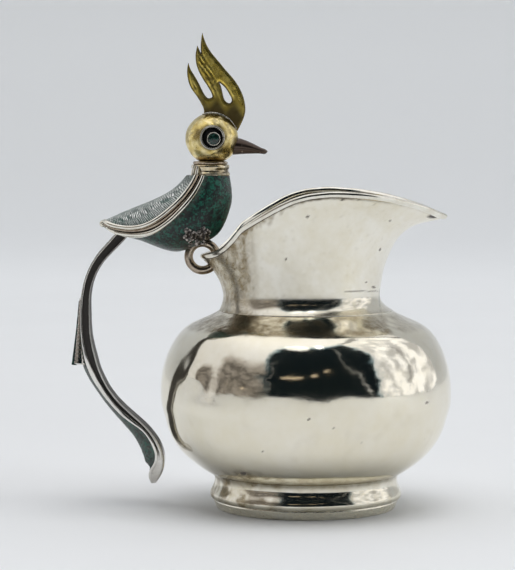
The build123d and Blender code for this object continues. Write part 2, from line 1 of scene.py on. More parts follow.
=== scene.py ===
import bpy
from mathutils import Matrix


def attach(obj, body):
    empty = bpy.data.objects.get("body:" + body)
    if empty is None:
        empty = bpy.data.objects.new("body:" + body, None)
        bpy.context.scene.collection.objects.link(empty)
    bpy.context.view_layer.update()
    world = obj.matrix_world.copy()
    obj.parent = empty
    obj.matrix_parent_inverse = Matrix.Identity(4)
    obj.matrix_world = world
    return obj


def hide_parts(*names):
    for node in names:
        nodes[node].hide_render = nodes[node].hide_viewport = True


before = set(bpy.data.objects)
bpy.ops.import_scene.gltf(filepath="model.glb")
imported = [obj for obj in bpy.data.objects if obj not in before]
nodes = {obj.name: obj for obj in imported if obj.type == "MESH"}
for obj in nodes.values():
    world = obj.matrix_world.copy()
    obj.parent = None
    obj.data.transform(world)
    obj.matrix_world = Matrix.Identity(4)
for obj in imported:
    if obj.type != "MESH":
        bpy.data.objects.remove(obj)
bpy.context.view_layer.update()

import math

import bmesh
import bpy
import numpy as np
from mathutils import Vector, geometry, noise

MM = 0.001


# ---------------------------------------------------------------------------
# numeric helpers
# ---------------------------------------------------------------------------
def cubic(t, y, q):
    """Natural cubic through (t, y), read at q. y may have several columns."""
    t, y, q = np.asarray(t, float), np.asarray(y, float), np.asarray(q, float)
    n = len(t)
    h = np.diff(t)
    A = np.zeros((n, n))
    B = np.zeros((n,) + y.shape[1:])
    A[0, 0] = A[-1, -1] = 1
    for i in range(1, n - 1):
        A[i, i - 1], A[i, i], A[i, i + 1] = h[i - 1], 2 * (h[i - 1] + h[i]), h[i]
        B[i] = 6 * ((y[i + 1] - y[i]) / h[i] - (y[i] - y[i - 1]) / h[i - 1])
    m = np.linalg.solve(A, B)
    k = np.clip(np.searchsorted(t, q) - 1, 0, n - 2)
    s, hk = q - t[k], h[k]
    if y.ndim > 1:
        s, hk = s[..., None], hk[..., None]
    a = (m[k + 1] - m[k]) / (6 * hk)
    b = m[k] / 2
    c = (y[k + 1] - y[k]) / hk - hk * (2 * m[k] + m[k + 1]) / 6
    return y[k] + s * (c + s * (b + s * a))


def pchip(pts, q):
    """Monotone cubic through a list of (t, value), read at q."""
    t = np.array([p[0] for p in pts], float)
    y = np.array([p[1] for p in pts], float)
    h, d = np.diff(t), np.diff(y) / np.diff(t)
    m = np.zeros(len(t))
    m[0], m[-1] = d[0], d[-1]
    for i in range(1, len(t) - 1):
        if d[i - 1] * d[i] > 0:
            w1, w2 = 2 * h[i] + h[i - 1], h[i] + 2 * h[i - 1]
            m[i] = (w1 + w2) / (w1 / d[i - 1] + w2 / d[i])
    q = np.clip(np.asarray(q, float), t[0], t[-1])
    k = np.clip(np.searchsorted(t, q) - 1, 0, len(t) - 2)
    s = (q - t[k]) / h[k]
    return ((1 + 2 * s) * (1 - s) ** 2 * y[k] + s * (1 - s) ** 2 * h[k] * m[k]
            + s * s * (3 - 2 * s) * y[k + 1] + s * s * (s - 1) * h[k] * m[k + 1])


def curve(pts, n):
    """n points evenly along a natural spline through pts."""
    p = np.array(pts, float)
    d = np.r_[0, np.cumsum(np.linalg.norm(np.diff(p, axis=0), axis=1))]
    f = cubic(d, p, np.linspace(0, d[-1], n * 6))
    e = np.r_[0, np.cumsum(np.linalg.norm(np.diff(f, axis=0), axis=1))]
    q = np.linspace(0, e[-1], n)
    return np.stack([np.interp(q, e, f[:, i]) for i in range(p.shape[1])], 1)


def unit(v):
    return v / np.maximum(np.linalg.norm(v, axis=-1, keepdims=True), 1e-12)


def smoothstep(a, b, x):
    t = np.clip((x - a) / (b - a), 0, 1)
    return t * t * (3 - 2 * t)


def field(P, scale, seed=0.0, octaves=1):
    """Smooth noise in -1..1 at points P, in mm, features about 'scale' mm across."""
    flat = np.asarray(P, float).reshape(-1, 3)
    out = np.empty(len(flat))
    off = Vector((seed * 17.3, seed * 5.1 + 3.0, seed * 9.7))
    for i, p in enumerate(flat):
        v = Vector(p) / scale + off
        s = noise.noise(v)
        if octaves > 1:
            s += 0.5 * noise.noise(v * 2.03)
        if octaves > 2:
            s += 0.25 * noise.noise(v * 4.1)
        out[i] = s
    return out.reshape(np.asarray(P).shape[:-1])


def bumps(P, spots):
    """Sum of round dents or swellings: (x, y, z, radius, height)."""
    out = np.zeros(P.shape[:-1])
    for x, y, z, r, h in spots:
        d2 = ((P - np.array([x, y, z])) ** 2).sum(-1)
        out += h * np.exp(-d2 / (r * r))
    return out


# ---------------------------------------------------------------------------
# mesh helpers: vertices in mm
# ---------------------------------------------------------------------------
def mesh_piece(name, verts, faces, mat, body, replace=(), slot=None, attrs=None, flat=False):
    me = bpy.data.meshes.new(name)
    me.from_pydata((np.asarray(verts, float) * MM).tolist(), [], faces)
    me.update()
    if attrs:
        for key, val in attrs.items():
            at = me.attributes.new(key, "FLOAT", "POINT")
            at.data.foreach_set("value", np.asarray(val, np.float32).ravel())
    bm = bmesh.new()
    bm.from_mesh(me)
    bmesh.ops.recalc_face_normals(bm, faces=bm.faces)
    bm.to_mesh(me)
    bm.free()
    me.polygons.foreach_set("use_smooth", [not flat] * len(me.polygons))
    me.materials.append(mat)
    ob = bpy.data.objects.new(name, me)
    bpy.context.scene.collection.objects.link(ob)
    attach(ob, body)
    if replace:
        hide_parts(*replace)
    return ob


def quads(nu, nv, cu, cv):
    f = []
    for i in range(nu if cu else nu - 1):
        a = i * nv
        b = ((i + 1) % nu) * nv
        for j in range(nv if cv else nv - 1):
            k = (j + 1) % nv
            f.append((a + j, b + j, b + k, a + k))
    return f


def grid_piece(name, P, cu, cv, mat, body, cap_u=False, pole_v=False, **kw):
    """P is (nu, nv, 3). cap_u closes the two ends in u with fans; pole_v fans the two ends in v."""
    nu, nv = P.shape[:2]
    verts = P.reshape(-1, 3).tolist()
    faces = quads(nu, nv, cu, cv)
    attrs = kw.pop("attrs", None)
    extra = 0
    if cap_u:
        for i, flip in ((0, 0), (nu - 1, 1)):
            c = P[i].mean(0)
            verts.append(c.tolist())
            m = len(verts) - 1
            extra += 1
            for j in range(nv if cv else nv - 1):
                k = (j + 1) % nv
                faces.append((i * nv + j, i * nv + k, m) if flip else (i * nv + k, i * nv + j, m))
    if pole_v:
        for j, flip in ((0, 0), (nv - 1, 1)):
            c = P[:, j].mean(0)
            verts.append(c.tolist())
            m = len(verts) - 1
            extra += 1
            for i in range(nu if cu else nu - 1):
                k = (i + 1) % nu
                faces.append((i * nv + j, k * nv + j, m) if flip else (k * nv + j, i * nv + j, m))
    if attrs:
        attrs = {k: np.r_[np.asarray(v).ravel(), np.full(extra, float(np.mean(v)))] for k, v in attrs.items()}
    return mesh_piece(name, verts, faces, mat, body, attrs=attrs, **kw)


def lathe(name, prof, mat, body, origin=(0, 0, 0), axis="Z", n=96, wob=0.0, **kw):
    """Closed profile of (r, h) turned about an axis through origin."""
    prof = np.array(prof, float)
    th = np.linspace(0, 2 * np.pi, n, endpoint=False)
    r, h = prof[:, 0], prof[:, 1]
    c, s = np.cos(th)[:, None], np.sin(th)[:, None]
    if axis == "Z":
        P = np.stack([r * c, r * s, np.broadcast_to(h, (n, len(h)))], -1)
    elif axis == "Y":
        P = np.stack([r * c, np.broadcast_to(h, (n, len(h))), r * s], -1)
    P = P + np.array(origin, float)
    if wob:
        d = field(P, 3.0, 2.0) * wob
        P = P + unit(P - np.array(origin)) * d[..., None]
    return grid_piece(name, P, True, True, mat, body, **kw)


def sweep(name, path, rad, mat, body, closed=False, n=14, ref=None, flat=1.0, **kw):
    """Round or flattened wire along a path."""
    path = np.asarray(path, float)
    if closed:
        t = unit(np.roll(path, -1, 0) - np.roll(path, 1, 0))
    else:
        t = unit(np.gradient(path, axis=0))
    if ref is None:
        ref = np.tile(np.array([0, 0, 1.0]), (len(path), 1))
    x = unit(ref - t * (ref * t).sum(1, keepdims=True))
    y = np.cross(t, x)
    rad = np.broadcast_to(np.asarray(rad, float), (len(path),))
    a = np.linspace(0, 2 * np.pi, n, endpoint=False)
    P = (path[:, None] + x[:, None] * (rad[:, None] * flat * np.cos(a))[..., None]
         + y[:, None] * (rad[:, None] * np.sin(a))[..., None])
    return grid_piece(name, P, closed, True, mat, body, cap_u=not closed, **kw)


def torus_points(c, R, r, nu=120, nv=32):
    u = np.linspace(0, 2 * np.pi, nu, endpoint=False)[:, None]
    v = np.linspace(0, 2 * np.pi, nv, endpoint=False)[None]
    return np.stack([c[0] + (R + r * np.cos(v)) * np.cos(u), c[1] + r * np.sin(v) + 0 * u,
                     c[2] + (R + r * np.cos(v)) * np.sin(u)], -1)


# ---------------------------------------------------------------------------
# materials
# ---------------------------------------------------------------------------
class Mat:
    def __init__(self, name):
        self.m = bpy.data.materials.new(name)
        self.m.use_nodes = True
        self.t = self.m.node_tree
        self.t.nodes.clear()
        self.out = self.t.nodes.new("ShaderNodeOutputMaterial")
        self.b = self.t.nodes.new("ShaderNodeBsdfPrincipled")
        self.t.links.new(self.b.outputs[0], self.out.inputs[0])
        tc = self.t.nodes.new("ShaderNodeNewGeometry")
        self.geo = tc
        mp = self.t.nodes.new("ShaderNodeVectorMath")
        mp.operation = "SCALE"
        mp.inputs["Scale"].default_value = 1000.0        # work in millimetres
        tx = self.t.nodes.new("ShaderNodeTexCoord")
        self.t.links.new(tx.outputs["Object"], mp.inputs[0])
        self.co = mp.outputs[0]

    def link(self, a, b):
        if isinstance(a, (int, float)):
            b.default_value = a
        elif isinstance(a, (tuple, list)):
            b.default_value = tuple(a) + ((1.0,) if len(a) == 3 and len(b.default_value) == 4 else ())
        else:
            self.t.links.new(a, b)

    def noise(self, scale, detail=3.0, rough=0.5, dist=0.0, co=None):
        n = self.t.nodes.new("ShaderNodeTexNoise")
        n.inputs["Scale"].default_value = scale
        n.inputs["Detail"].default_value = detail
        n.inputs["Roughness"].default_value = rough
        n.inputs["Distortion"].default_value = dist
        self.link(co or self.co, n.inputs["Vector"])
        return n.outputs["Fac"]

    def voronoi(self, scale, feature="F1", out="Distance", co=None, rand=1.0):
        n = self.t.nodes.new("ShaderNodeTexVoronoi")
        n.feature = feature
        n.inputs["Scale"].default_value = scale
        n.inputs["Randomness"].default_value = rand
        self.link(co or self.co, n.inputs["Vector"])
        return n.outputs[out]

    def ramp(self, fac, stops, interp="LINEAR"):
        n = self.t.nodes.new("ShaderNodeValToRGB")
        n.color_ramp.interpolation = interp
        els = n.color_ramp.elements
        while len(els) < len(stops):
            els.new(0.5)
        for e, (p, c) in zip(els, stops):
            e.position = p
            e.color = (c, c, c, 1) if isinstance(c, (int, float)) else tuple(c) + (1,)
        self.link(fac, n.inputs[0])
        return n.outputs[0]

    def mix(self, fac, a, b, mode="MIX"):
        n = self.t.nodes.new("ShaderNodeMix")
        n.data_type = "RGBA"
        n.blend_type = mode
        self.link(fac, n.inputs[0])
        self.link(a, n.inputs[6])
        self.link(b, n.inputs[7])
        return n.outputs[2]

    def math(self, op, a, b=0.0, clamp=False):
        n = self.t.nodes.new("ShaderNodeMath")
        n.operation = op
        n.use_clamp = clamp
        self.link(a, n.inputs[0])
        self.link(b, n.inputs[1])
        return n.outputs[0]

    def attr(self, name):
        n = self.t.nodes.new("ShaderNodeAttribute")
        n.attribute_name = name
        return n.outputs["Fac"]

    def stretch(self, x, y, z):
        n = self.t.nodes.new("ShaderNodeVectorMath")
        n.operation = "MULTIPLY"
        self.link(self.co, n.inputs[0])
        n.inputs[1].default_value = (x, y, z)
        return n.outputs[0]

    def bump(self, height, strength, dist_mm, normal=None):
        n = self.t.nodes.new("ShaderNodeBump")
        n.inputs["Strength"].default_value = strength
        n.inputs["Distance"].default_value = dist_mm * MM
        self.link(height, n.inputs["Height"])
        if normal is not None:
            self.link(normal, n.inputs["Normal"])
        return n.outputs[0]

    def point(self):
        return self.geo.outputs["Pointiness"]

    def set(self, **kw):
        for k, v in kw.items():
            self.link(v, self.b.inputs[k.replace("_", " ")])
        return self.m


def silver(name, base=(0.90, 0.885, 0.85), warm=(0.72, 0.64, 0.46), tarnish=0.35, rough=0.06,
           pits=True, scale=0.09, dark=(0.25, 0.2, 0.15), crevice=0.5, wave=0.0):
    m = Mat(name)
    big = m.noise(scale, 4, 0.6, 0.4)
    mid = m.noise(scale * 6, 5, 0.65)
    t = m.ramp(m.math("ADD", m.math("MULTIPLY", big, 0.7), m.math("MULTIPLY", mid, 0.35)),
               [(0.42, 0.0), (0.72, 1.0)])
    col = m.mix(m.math("MULTIPLY", t, tarnish), base, warm)
    low = m.ramp(m.point(), [(0.44, 1.0), (0.495, 0.0)])
    col = m.mix(m.math("MULTIPLY", low, crevice), col, dark)
    # stain_and_shade attribute: brown stains, and on the bowl painted shade and painted reflection, mixed into the
    # colour as dark brown
    blot = m.ramp(m.noise(0.42, 5, 0.7, 0.6), [(0.36, 0.45), (0.60, 1.0)])
    stain_and_shade = m.math("MULTIPLY", m.attr("stain_and_shade"), blot, True)
    col = m.mix(m.math("MULTIPLY", stain_and_shade, 0.9), col, m.mix(m.noise(0.8, 3), (0.09, 0.060, 0.028), (0.34, 0.25, 0.11)))
    # black attribute: near-black marks, seams and the line under the rim wire; on the tail strap it is painted shade in
    # the groove and on the inner face
    col = m.mix(m.attr("black"), col, (0.035, 0.03, 0.028))
    if pits:
        v = m.voronoi(0.16)
        p = m.ramp(v, [(0.012, 1.0), (0.03, 0.0)])
        col = m.mix(m.math("MULTIPLY", p, 0.75), col, (0.18, 0.15, 0.1))
    scr = m.noise(1.0, 3, 0.7, 0.0, m.stretch(0.5, 0.5, 7.0))
    fine = m.noise(3.2, 3, 0.6)
    r = m.math("ADD", m.math("MULTIPLY", m.ramp(scr, [(0.45, 0.0), (0.75, 1.0)]), 0.07), rough)
    r = m.math("ADD", r, m.math("MULTIPLY", t, 0.10 * tarnish + 0.03))
    r = m.math("ADD", r, m.math("MULTIPLY", stain_and_shade, 0.16))
    nrm = m.bump(fine, 0.12, 0.03)
    nrm = m.bump(m.noise(0.42, 2, 0.5), 0.5, 0.03 + wave, nrm)
    blk = m.attr("black")
    r = m.math("ADD", r, m.math("MULTIPLY", blk, 0.35), True)
    return m.set(Base_Color=col, Metallic=m.math("SUBTRACT", 1.0, m.math("MULTIPLY", blk, 0.95), True), Roughness=r, Normal=nrm,
                 Specular_IOR_Level=0.25)


def brass(name, base=(0.80, 0.62, 0.26), dark=(0.13, 0.085, 0.035), tarnish=0.6, rough=0.16, attr=None, hi=(0.95, 0.85, 0.52)):
    m = Mat(name)
    big = m.noise(0.28, 5, 0.62, 0.8)
    col = m.mix(m.ramp(m.noise(0.5, 3, 0.5, 0.3), [(0.4, 0.0), (0.65, 1.0)]), base, hi)
    t = m.ramp(big, [(0.44, 0.0), (0.66, 1.0)])
    f = m.math("MULTIPLY", t, tarnish)
    # the attribute raises the tarnish mask; on the head it also carries painted shade
    if attr:
        f = m.math("MAXIMUM", f, m.attr(attr))
    col = m.mix(f, col, dark)
    low = m.ramp(m.point(), [(0.44, 1.0), (0.49, 0.0)])
    col = m.mix(m.math("MULTIPLY", low, 0.7), col, dark)
    high = m.ramp(m.point(), [(0.52, 0.0), (0.58, 1.0)])
    col = m.mix(m.math("MULTIPLY", high, 0.35), col, hi)
    r = m.math("ADD", m.math("MULTIPLY", f, 0.3), rough)
    nrm = m.bump(m.noise(2.6, 3, 0.6), 0.25, 0.04)
    nrm = m.bump(m.voronoi(0.55, "SMOOTH_F1"), 0.4, 0.08, nrm)
    return m.set(Base_Color=col, Metallic=1.0, Roughness=r, Normal=nrm)


def stone_green():
    m = Mat("green_stone")
    cells = m.voronoi(1.9, "F1", "Color")
    sep = m.t.nodes.new("ShaderNodeSeparateColor")
    m.link(cells, sep.inputs[0])
    tone = m.ramp(m.math("ADD", m.math("MULTIPLY", sep.outputs[0], 0.55), m.math("MULTIPLY", m.noise(0.20, 6, 0.72, 0.4), 0.85)),
                  [(0.50, (0.003, 0.005, 0.006)), (0.63, (0.004, 0.015, 0.013)), (0.78, (0.004, 0.058, 0.040)), (0.95, (0.010, 0.12, 0.08))])
    brown = m.ramp(m.noise(0.35, 4, 0.6), [(0.60, 0.0), (0.72, 1.0)])
    col = m.mix(m.math("MULTIPLY", brown, 0.45), tone, (0.05, 0.03, 0.025))
    edge = m.ramp(m.voronoi(1.9, "DISTANCE_TO_EDGE"), [(0.0, 1.0), (0.06, 0.0)])
    col = m.mix(m.math("MULTIPLY", edge, 0.55), col, (0.006, 0.009, 0.009))
    spark = m.ramp(m.noise(2.4, 2, 0.5), [(0.70, 0.0), (0.76, 1.0)])
    col = m.mix(m.math("MULTIPLY", m.math("MULTIPLY", spark, m.attr("worn")), 1.0), col, (0.45, 0.47, 0.42))
    col = m.mix(m.math("MULTIPLY", m.attr("worn"), m.ramp(m.noise(0.9, 5, 0.7), [(0.35, 0.1), (0.65, 0.75)])), col, (0.17, 0.17, 0.15))
    r = m.ramp(m.noise(1.1, 4, 0.6), [(0.3, 0.26), (0.7, 0.5)])
    nrm = m.bump(m.math("ADD", m.math("MULTIPLY", edge, -0.5), m.noise(1.6, 4, 0.6)), 0.5, 0.09)
    return m.set(Base_Color=col, Roughness=r, Normal=nrm, Specular_IOR_Level=0.55)


def feather_inlay():
    m = Mat("feather_inlay")
    tone = m.ramp(m.noise(0.45, 5, 0.65, 0.5), [(0.35, (0.14, 0.17, 0.16)), (0.55, (0.27, 0.31, 0.295)), (0.75, (0.42, 0.45, 0.43))])
    tone = m.mix(m.ramp(m.noise(2.2, 4, 0.7), [(0.45, 0.0), (0.7, 0.6)]), tone, (0.07, 0.105, 0.095))
    tone = m.mix(m.math("MULTIPLY", m.attr("teal"), 0.6), tone, (0.02, 0.12, 0.09))
    tone = m.mix(m.attr("cut"), tone, (0.025, 0.035, 0.035))
    col = m.mix(m.attr("mark"), tone, (0.95, 0.96, 0.93))
    r = m.math("SUBTRACT", 0.42, m.math("MULTIPLY", m.attr("mark"), 0.2))
    nrm = m.bump(m.noise(2.0, 4, 0.7), 0.5, 0.06)
    return m.set(Base_Color=col, Metallic=m.math("MULTIPLY", m.attr("mark"), 0.75), Roughness=r, Normal=nrm)


def oxidised(name, base=(0.035, 0.032, 0.03), worn=(0.42, 0.38, 0.33), rough=0.34, amount=0.5, speck=0.5):
    m = Mat(name)
    n = m.noise(0.8, 5, 0.65, 0.4)
    high = m.ramp(m.point(), [(0.51, 0.0), (0.56, 1.0)])
    f = m.math("MAXIMUM", m.math("MULTIPLY", high, amount), m.math("MULTIPLY", m.ramp(n, [(0.58, 0.0), (0.75, 1.0)]), speck))
    col = m.mix(f, base, worn)
    nrm = m.bump(m.noise(2.5, 4, 0.6), 0.4, 0.05)
    return m.set(Base_Color=col, Metallic=0.9, Roughness=rough, Normal=nrm)


M_BOWL = silver("silver_bowl", base=(0.86, 0.82, 0.71), warm=(0.78, 0.71, 0.52), tarnish=0.6, rough=0.03, scale=0.04, wave=0.01)
M_NECK = silver("silver_neck", base=(0.86, 0.83, 0.74), warm=(0.66, 0.58, 0.38), tarnish=0.55, rough=0.09, scale=0.06, crevice=0.3)
M_FOOT = silver("silver_foot", base=(0.84, 0.81, 0.71), warm=(0.60, 0.52, 0.34), tarnish=0.7, rough=0.07, scale=0.09, crevice=0.8)
M_BAND = silver("silver_band", base=(0.86, 0.83, 0.72), warm=(0.70, 0.63, 0.46), tarnish=0.5, rough=0.22, scale=0.12)
M_WIRE = silver("silver_wire", base=(0.86, 0.84, 0.76), warm=(0.55, 0.48, 0.34), tarnish=0.5, rough=0.10, scale=0.3, pits=False, crevice=0.8, dark=(0.06, 0.05, 0.04))
M_RING = silver("silver_ring", base=(0.50, 0.43, 0.34), warm=(0.20, 0.13, 0.08), tarnish=0.9, rough=0.15, scale=0.4, pits=False, crevice=0.8, dark=(0.04, 0.03, 0.025))
M_BEZEL = silver("silver_bezel", base=(0.55, 0.53, 0.47), warm=(0.12, 0.10, 0.07), tarnish=0.85, rough=0.16, scale=0.5, pits=False, crevice=0.9, dark=(0.03, 0.03, 0.03))
M_TAIL = silver("silver_tail", base=(0.86, 0.84, 0.80), warm=(0.5, 0.45, 0.36), tarnish=0.45, rough=0.12, scale=0.25, pits=False, crevice=0.9, dark=(0.05, 0.045, 0.04))
M_BRASS = brass("brass_head", base=(0.70, 0.55, 0.20), hi=(0.88, 0.76, 0.42), tarnish=0.35, dark=(0.12, 0.085, 0.03), attr="dark")
M_COLLAR = brass("brass_collar", base=(0.60, 0.50, 0.32), hi=(0.82, 0.74, 0.56), tarnish=1.0, rough=0.2, dark=(0.06, 0.05, 0.035))
M_CREST = brass("brass_crest", base=(0.74, 0.55, 0.10), hi=(0.98, 0.78, 0.20), dark=(0.045, 0.033, 0.024), tarnish=0.35, rough=0.24, attr="dark")
M_GREEN = stone_green()
M_FEATHER = feather_inlay()
M_DARK = oxidised("oxidised_silver", amount=0.35, speck=0.15)
M_CLAW = oxidised("claw_silver", base=(0.05, 0.045, 0.042), worn=(0.66, 0.60, 0.56), amount=0.9, speck=0.9, rough=0.3)
M_BEAK = oxidised("beak_silver", base=(0.085, 0.062, 0.05), worn=(0.40, 0.31, 0.25), rough=0.30, amount=0.5, speck=0.5)
M_WELL = oxidised("eye_well", base=(0.008, 0.008, 0.009), amount=0.0, speck=0.0, rough=0.35)
m = Mat("eye_stone")
M_EYE = m.set(Base_Color=m.ramp(m.noise(1.5, 3, 0.6), [(0.4, (0.003, 0.006, 0.006)), (0.65, (0.01, 0.06, 0.045))]),
              Roughness=0.12, Specular_IOR_Level=0.7, Normal=m.bump(m.noise(1.2, 2), 0.2, 0.03))

# ---------------------------------------------------------------------------
# jug: the same driving shapes as the CAD, finely meshed, with the hand-raised waviness
# ---------------------------------------------------------------------------
SHEET, NECK_Z0, NECK_R0 = 1.0, 56.6, 24.8
WAIST_Z, WAIST_R, WAIST_X = 61.2, 22.35, -1.35
RIM_FRONT, RIM_BACK, RIM_HALF_W, RIM_WIRE_R = 38.9, -29.5, 26.0, 0.75
RING = (-29.6, 0.0, 72.0)
RING_R, RING_WIRE_R, RING_CLEAR = 3.95, 1.25, 0.25

BOWL_OUT = [(24.8, 56.6), (25.7, 56.0), (28.9, 54.4), (32.6, 52.7), (35.2, 51.0),
            (37.9, 47.6), (39.6, 44.1), (40.75, 40.6), (41.35, 37.2), (41.5, 33.2),
            (41.3, 30.0), (40.45, 26.9), (39.5, 23.5), (38.0, 20.0), (35.6, 16.6),
            (31.9, 13.2), (26.9, 10.0), (20.0, 8.0), (10.0, 7.1), (0.0, 6.9)]


def dents(P):
    d = 0.30 * field(P, 21.0, 1.0) + 0.085 * field(P, 8.0, 2.0)
    d += 0.018 * field(P, 3.6, 3.0)
    d += bumps(P, [(-31.8, -26, 41.5, 4.4, 0.95), (-27.0, -30, 37.5, 4.5, -0.22), (-31.5, -27, 32.0, 3.6, 0.22), (-22, -34, 43, 6.0, 0.14),
                   (33, -24, 38, 5.5, -0.16), (38, -14, 33, 6.0, 0.12), (14, -37, 36, 7.0, -0.10),
                   (-31, 24, 36, 7.0, -0.22), (30, 28, 30, 7.0, 0.18), (0, 41, 34, 8.0, -0.15)])
    return d


out = curve(BOWL_OUT, 170)
tan = unit(np.gradient(out, axis=0))
nor = np.stack([-tan[:, 1], tan[:, 0]], 1)
nor = nor * np.sign((nor * (out - np.array([0, 30.0]))).sum(1, keepdims=True))
inn = out - nor * SHEET
inn[:, 0] = np.maximum(inn[:, 0], 0.0)
inn[0] = (23.8, 56.6)
inn[-1, 0] = 0.0
NU = 420
th = np.linspace(0, 2 * np.pi, NU, endpoint=False)


def turn(prof):
    c, s = np.cos(th)[:, None], np.sin(th)[:, None]
    return np.stack([prof[:, 0] * c, prof[:, 0] * s, np.broadcast_to(prof[:, 1], (NU, len(prof)))], -1)


O = turn(out[:-1])
N3 = np.stack([nor[:-1, 0] * np.cos(th)[:, None], nor[:-1, 0] * np.sin(th)[:, None],
               np.broadcast_to(nor[:-1, 1], (NU, len(out) - 1))], -1)
D = dents(O) * smoothstep(0, 5, NECK_Z0 - O[..., 2]) * smoothstep(8.5, 15, O[..., 2])
O = O + N3 * D[..., None]
I = O - N3 * SHEET
I[:, 0] = turn(np.array([[23.8, 56.6]]))[:, 0]
P = np.concatenate([O[:, ::-1], I], 1)          # outer pole ... rim ... inner pole


def seen(P, px, py, rx, rz, soft=0.5):
    """Soft oval mark on the near side, centred where it is seen from the front (mm across, mm up)."""
    sx, sz = P[..., 0], P[..., 2] + 0.068 * P[..., 1]
    d = np.hypot((sx - px) / rx, (sz - py) / rz)
    return smoothstep(1.0 + soft, 1.0 - soft, d) * (P[..., 1] < 2.0)


def at(px, py):
    return (px - 306) * 0.286, (508 - py) * 0.286


n1, n2_ = field(P, 5.0, 21.0, 2), field(P, 1.6, 22.0, 2)
outside = np.zeros(P.shape[:2]); outside[:, :O.shape[1]] = 1.0
# painted reflection: the brown band on the shoulder below the neck seam, heavier on the left, and the patch at its left
# end stand for the neck and room reflected there
stain_and_shade = 0.95 * smoothstep(51.2, 52.6, P[..., 2]) * smoothstep(57.5, 55.0, P[..., 2]) * smoothstep(-0.55, 0.2, n1)
stain_and_shade = stain_and_shade * (0.45 + 0.55 * smoothstep(30, 20, P[..., 0]))
stain_and_shade += 0.8 * seen(P, *at(232, 318), 13, 3.6) * smoothstep(-0.6, 0.2, n2_)
# painted shade: darker low on the bowl above the foot, at a patch on the left and all round
stain_and_shade += 0.8 * seen(P, *at(240, 470), 9, 1.6) * smoothstep(-0.4, 0.4, n1)
stain_and_shade += 0.35 * smoothstep(12.6, 10.6, P[..., 2])
# painted reflection: a faint brown tint on the swelling at the left, where the handle is reflected
stain_and_shade += 0.18 * seen(P, *at(190, 372), 5.0, 6.5)
stain_and_shade += 0.10 * smoothstep(0.1, 0.9, n1)
black = np.zeros(P.shape[:2])
for px, py, r in ((244, 467, 0.75), (421.5, 399, 0.35), (306, 412, 0.3), (244.5, 468, 0.5), (262, 443, 0.25), (356, 436, 0.25), (330, 421, 0.2)):
    black = np.maximum(black, 0.85 * seen(P, *at(px, py), r * 1.25, r * 0.8, 0.35))
bowl = grid_piece("bowl_raised", P, True, False, M_BOWL, "jug", pole_v=True, replace=("bowl",), slot="silver",
                  attrs={"stain_and_shade": np.clip(stain_and_shade, 0, 1) * outside, "black": black * outside})

RIM_PROFILE = [(-29.5, 71.2), (-26.6, 72.2), (-25.2, 72.8), (-23.2, 74.2), (-20.6, 76.9),
               (-18.6, 79.4), (-15.2, 81.8), (-12.6, 83.4), (-9.7, 85.1), (-6.9, 86.6),
               (-3.4, 88.1), (1.1, 89.2), (6.9, 89.7), (13.2, 89.4), (21.7, 88.3),
               (28.3, 86.8), (34.0, 84.9), (37.6, 83.3), (38.9, 82.8)]
G_FRONT = [(0, 0), (0.15, 0.17), (0.3, 0.34), (0.45, 0.53), (0.6, 0.72), (0.72, 0.85),
           (0.84, 0.93), (0.93, 0.965), (1, 1)]
H_FRONT = [(0, 0), (0.15, 0.03), (0.3, 0.07), (0.45, 0.15), (0.6, 0.27), (0.72, 0.42),
           (0.84, 0.62), (0.93, 0.82), (1, 1)]
H_SIDE = [(0, 0), (0.15, 0.01), (0.3, 0.04), (0.45, 0.12), (0.6, 0.26), (0.72, 0.42),
          (0.84, 0.64), (0.93, 0.84), (1, 1)]
H_BACK = [(0, 0), (0.15, 0.06), (0.3, 0.14), (0.45, 0.26), (0.6, 0.42), (0.72, 0.57),
          (0.84, 0.75), (0.93, 0.89), (1, 1)]


def neck_surface(u, v):
    """u (nu,1) round, v (1,nv) up."""
    c, s = np.cos(u), np.sin(u)
    cx, hx = (RIM_FRONT + RIM_BACK) / 2, (RIM_FRONT - RIM_BACK) / 2
    rx = cx + hx * c
    lead = 0.55 + 0.05 * np.tanh(c * 8)
    ry = RIM_HALF_W * s * (1 - lead * np.abs(c) ** 3.2)
    rz = pchip(RIM_PROFILE, rx)
    k = (1 - np.clip(v / 0.16, 0, 1)) ** 2.2
    r0 = WAIST_R + (NECK_R0 - WAIST_R) * k
    lowx, lowy = WAIST_X * (1 - k) + r0 * c, r0 * s
    lowz = NECK_Z0 + (WAIST_Z - NECK_Z0) * np.clip(v / 0.16, 0, 1) + 0 * c
    f = np.clip((v - 0.16) / 0.84, 0, 1)
    wf, wb = np.maximum(0, c) ** 1.6, np.maximum(0, -c) ** 2.0
    ws = np.maximum(0, 1 - wf - wb)
    h = wf * pchip(H_FRONT, f) + ws * pchip(H_SIDE, f) + wb * pchip(H_BACK, f)
    g = wf * pchip(G_FRONT, f) + (1 - wf) * f
    hix = WAIST_X + WAIST_R * c + (rx - WAIST_X - WAIST_R * c) * h
    hiy = WAIST_R * s + (ry - WAIST_R * s) * h
    hiz = WAIST_Z + (rz - WAIST_Z) * g
    w = (v > 0.16)
    return np.stack([np.where(w, hix, lowx), np.where(w, hiy, lowy), np.where(w, hiz, lowz)], -1)


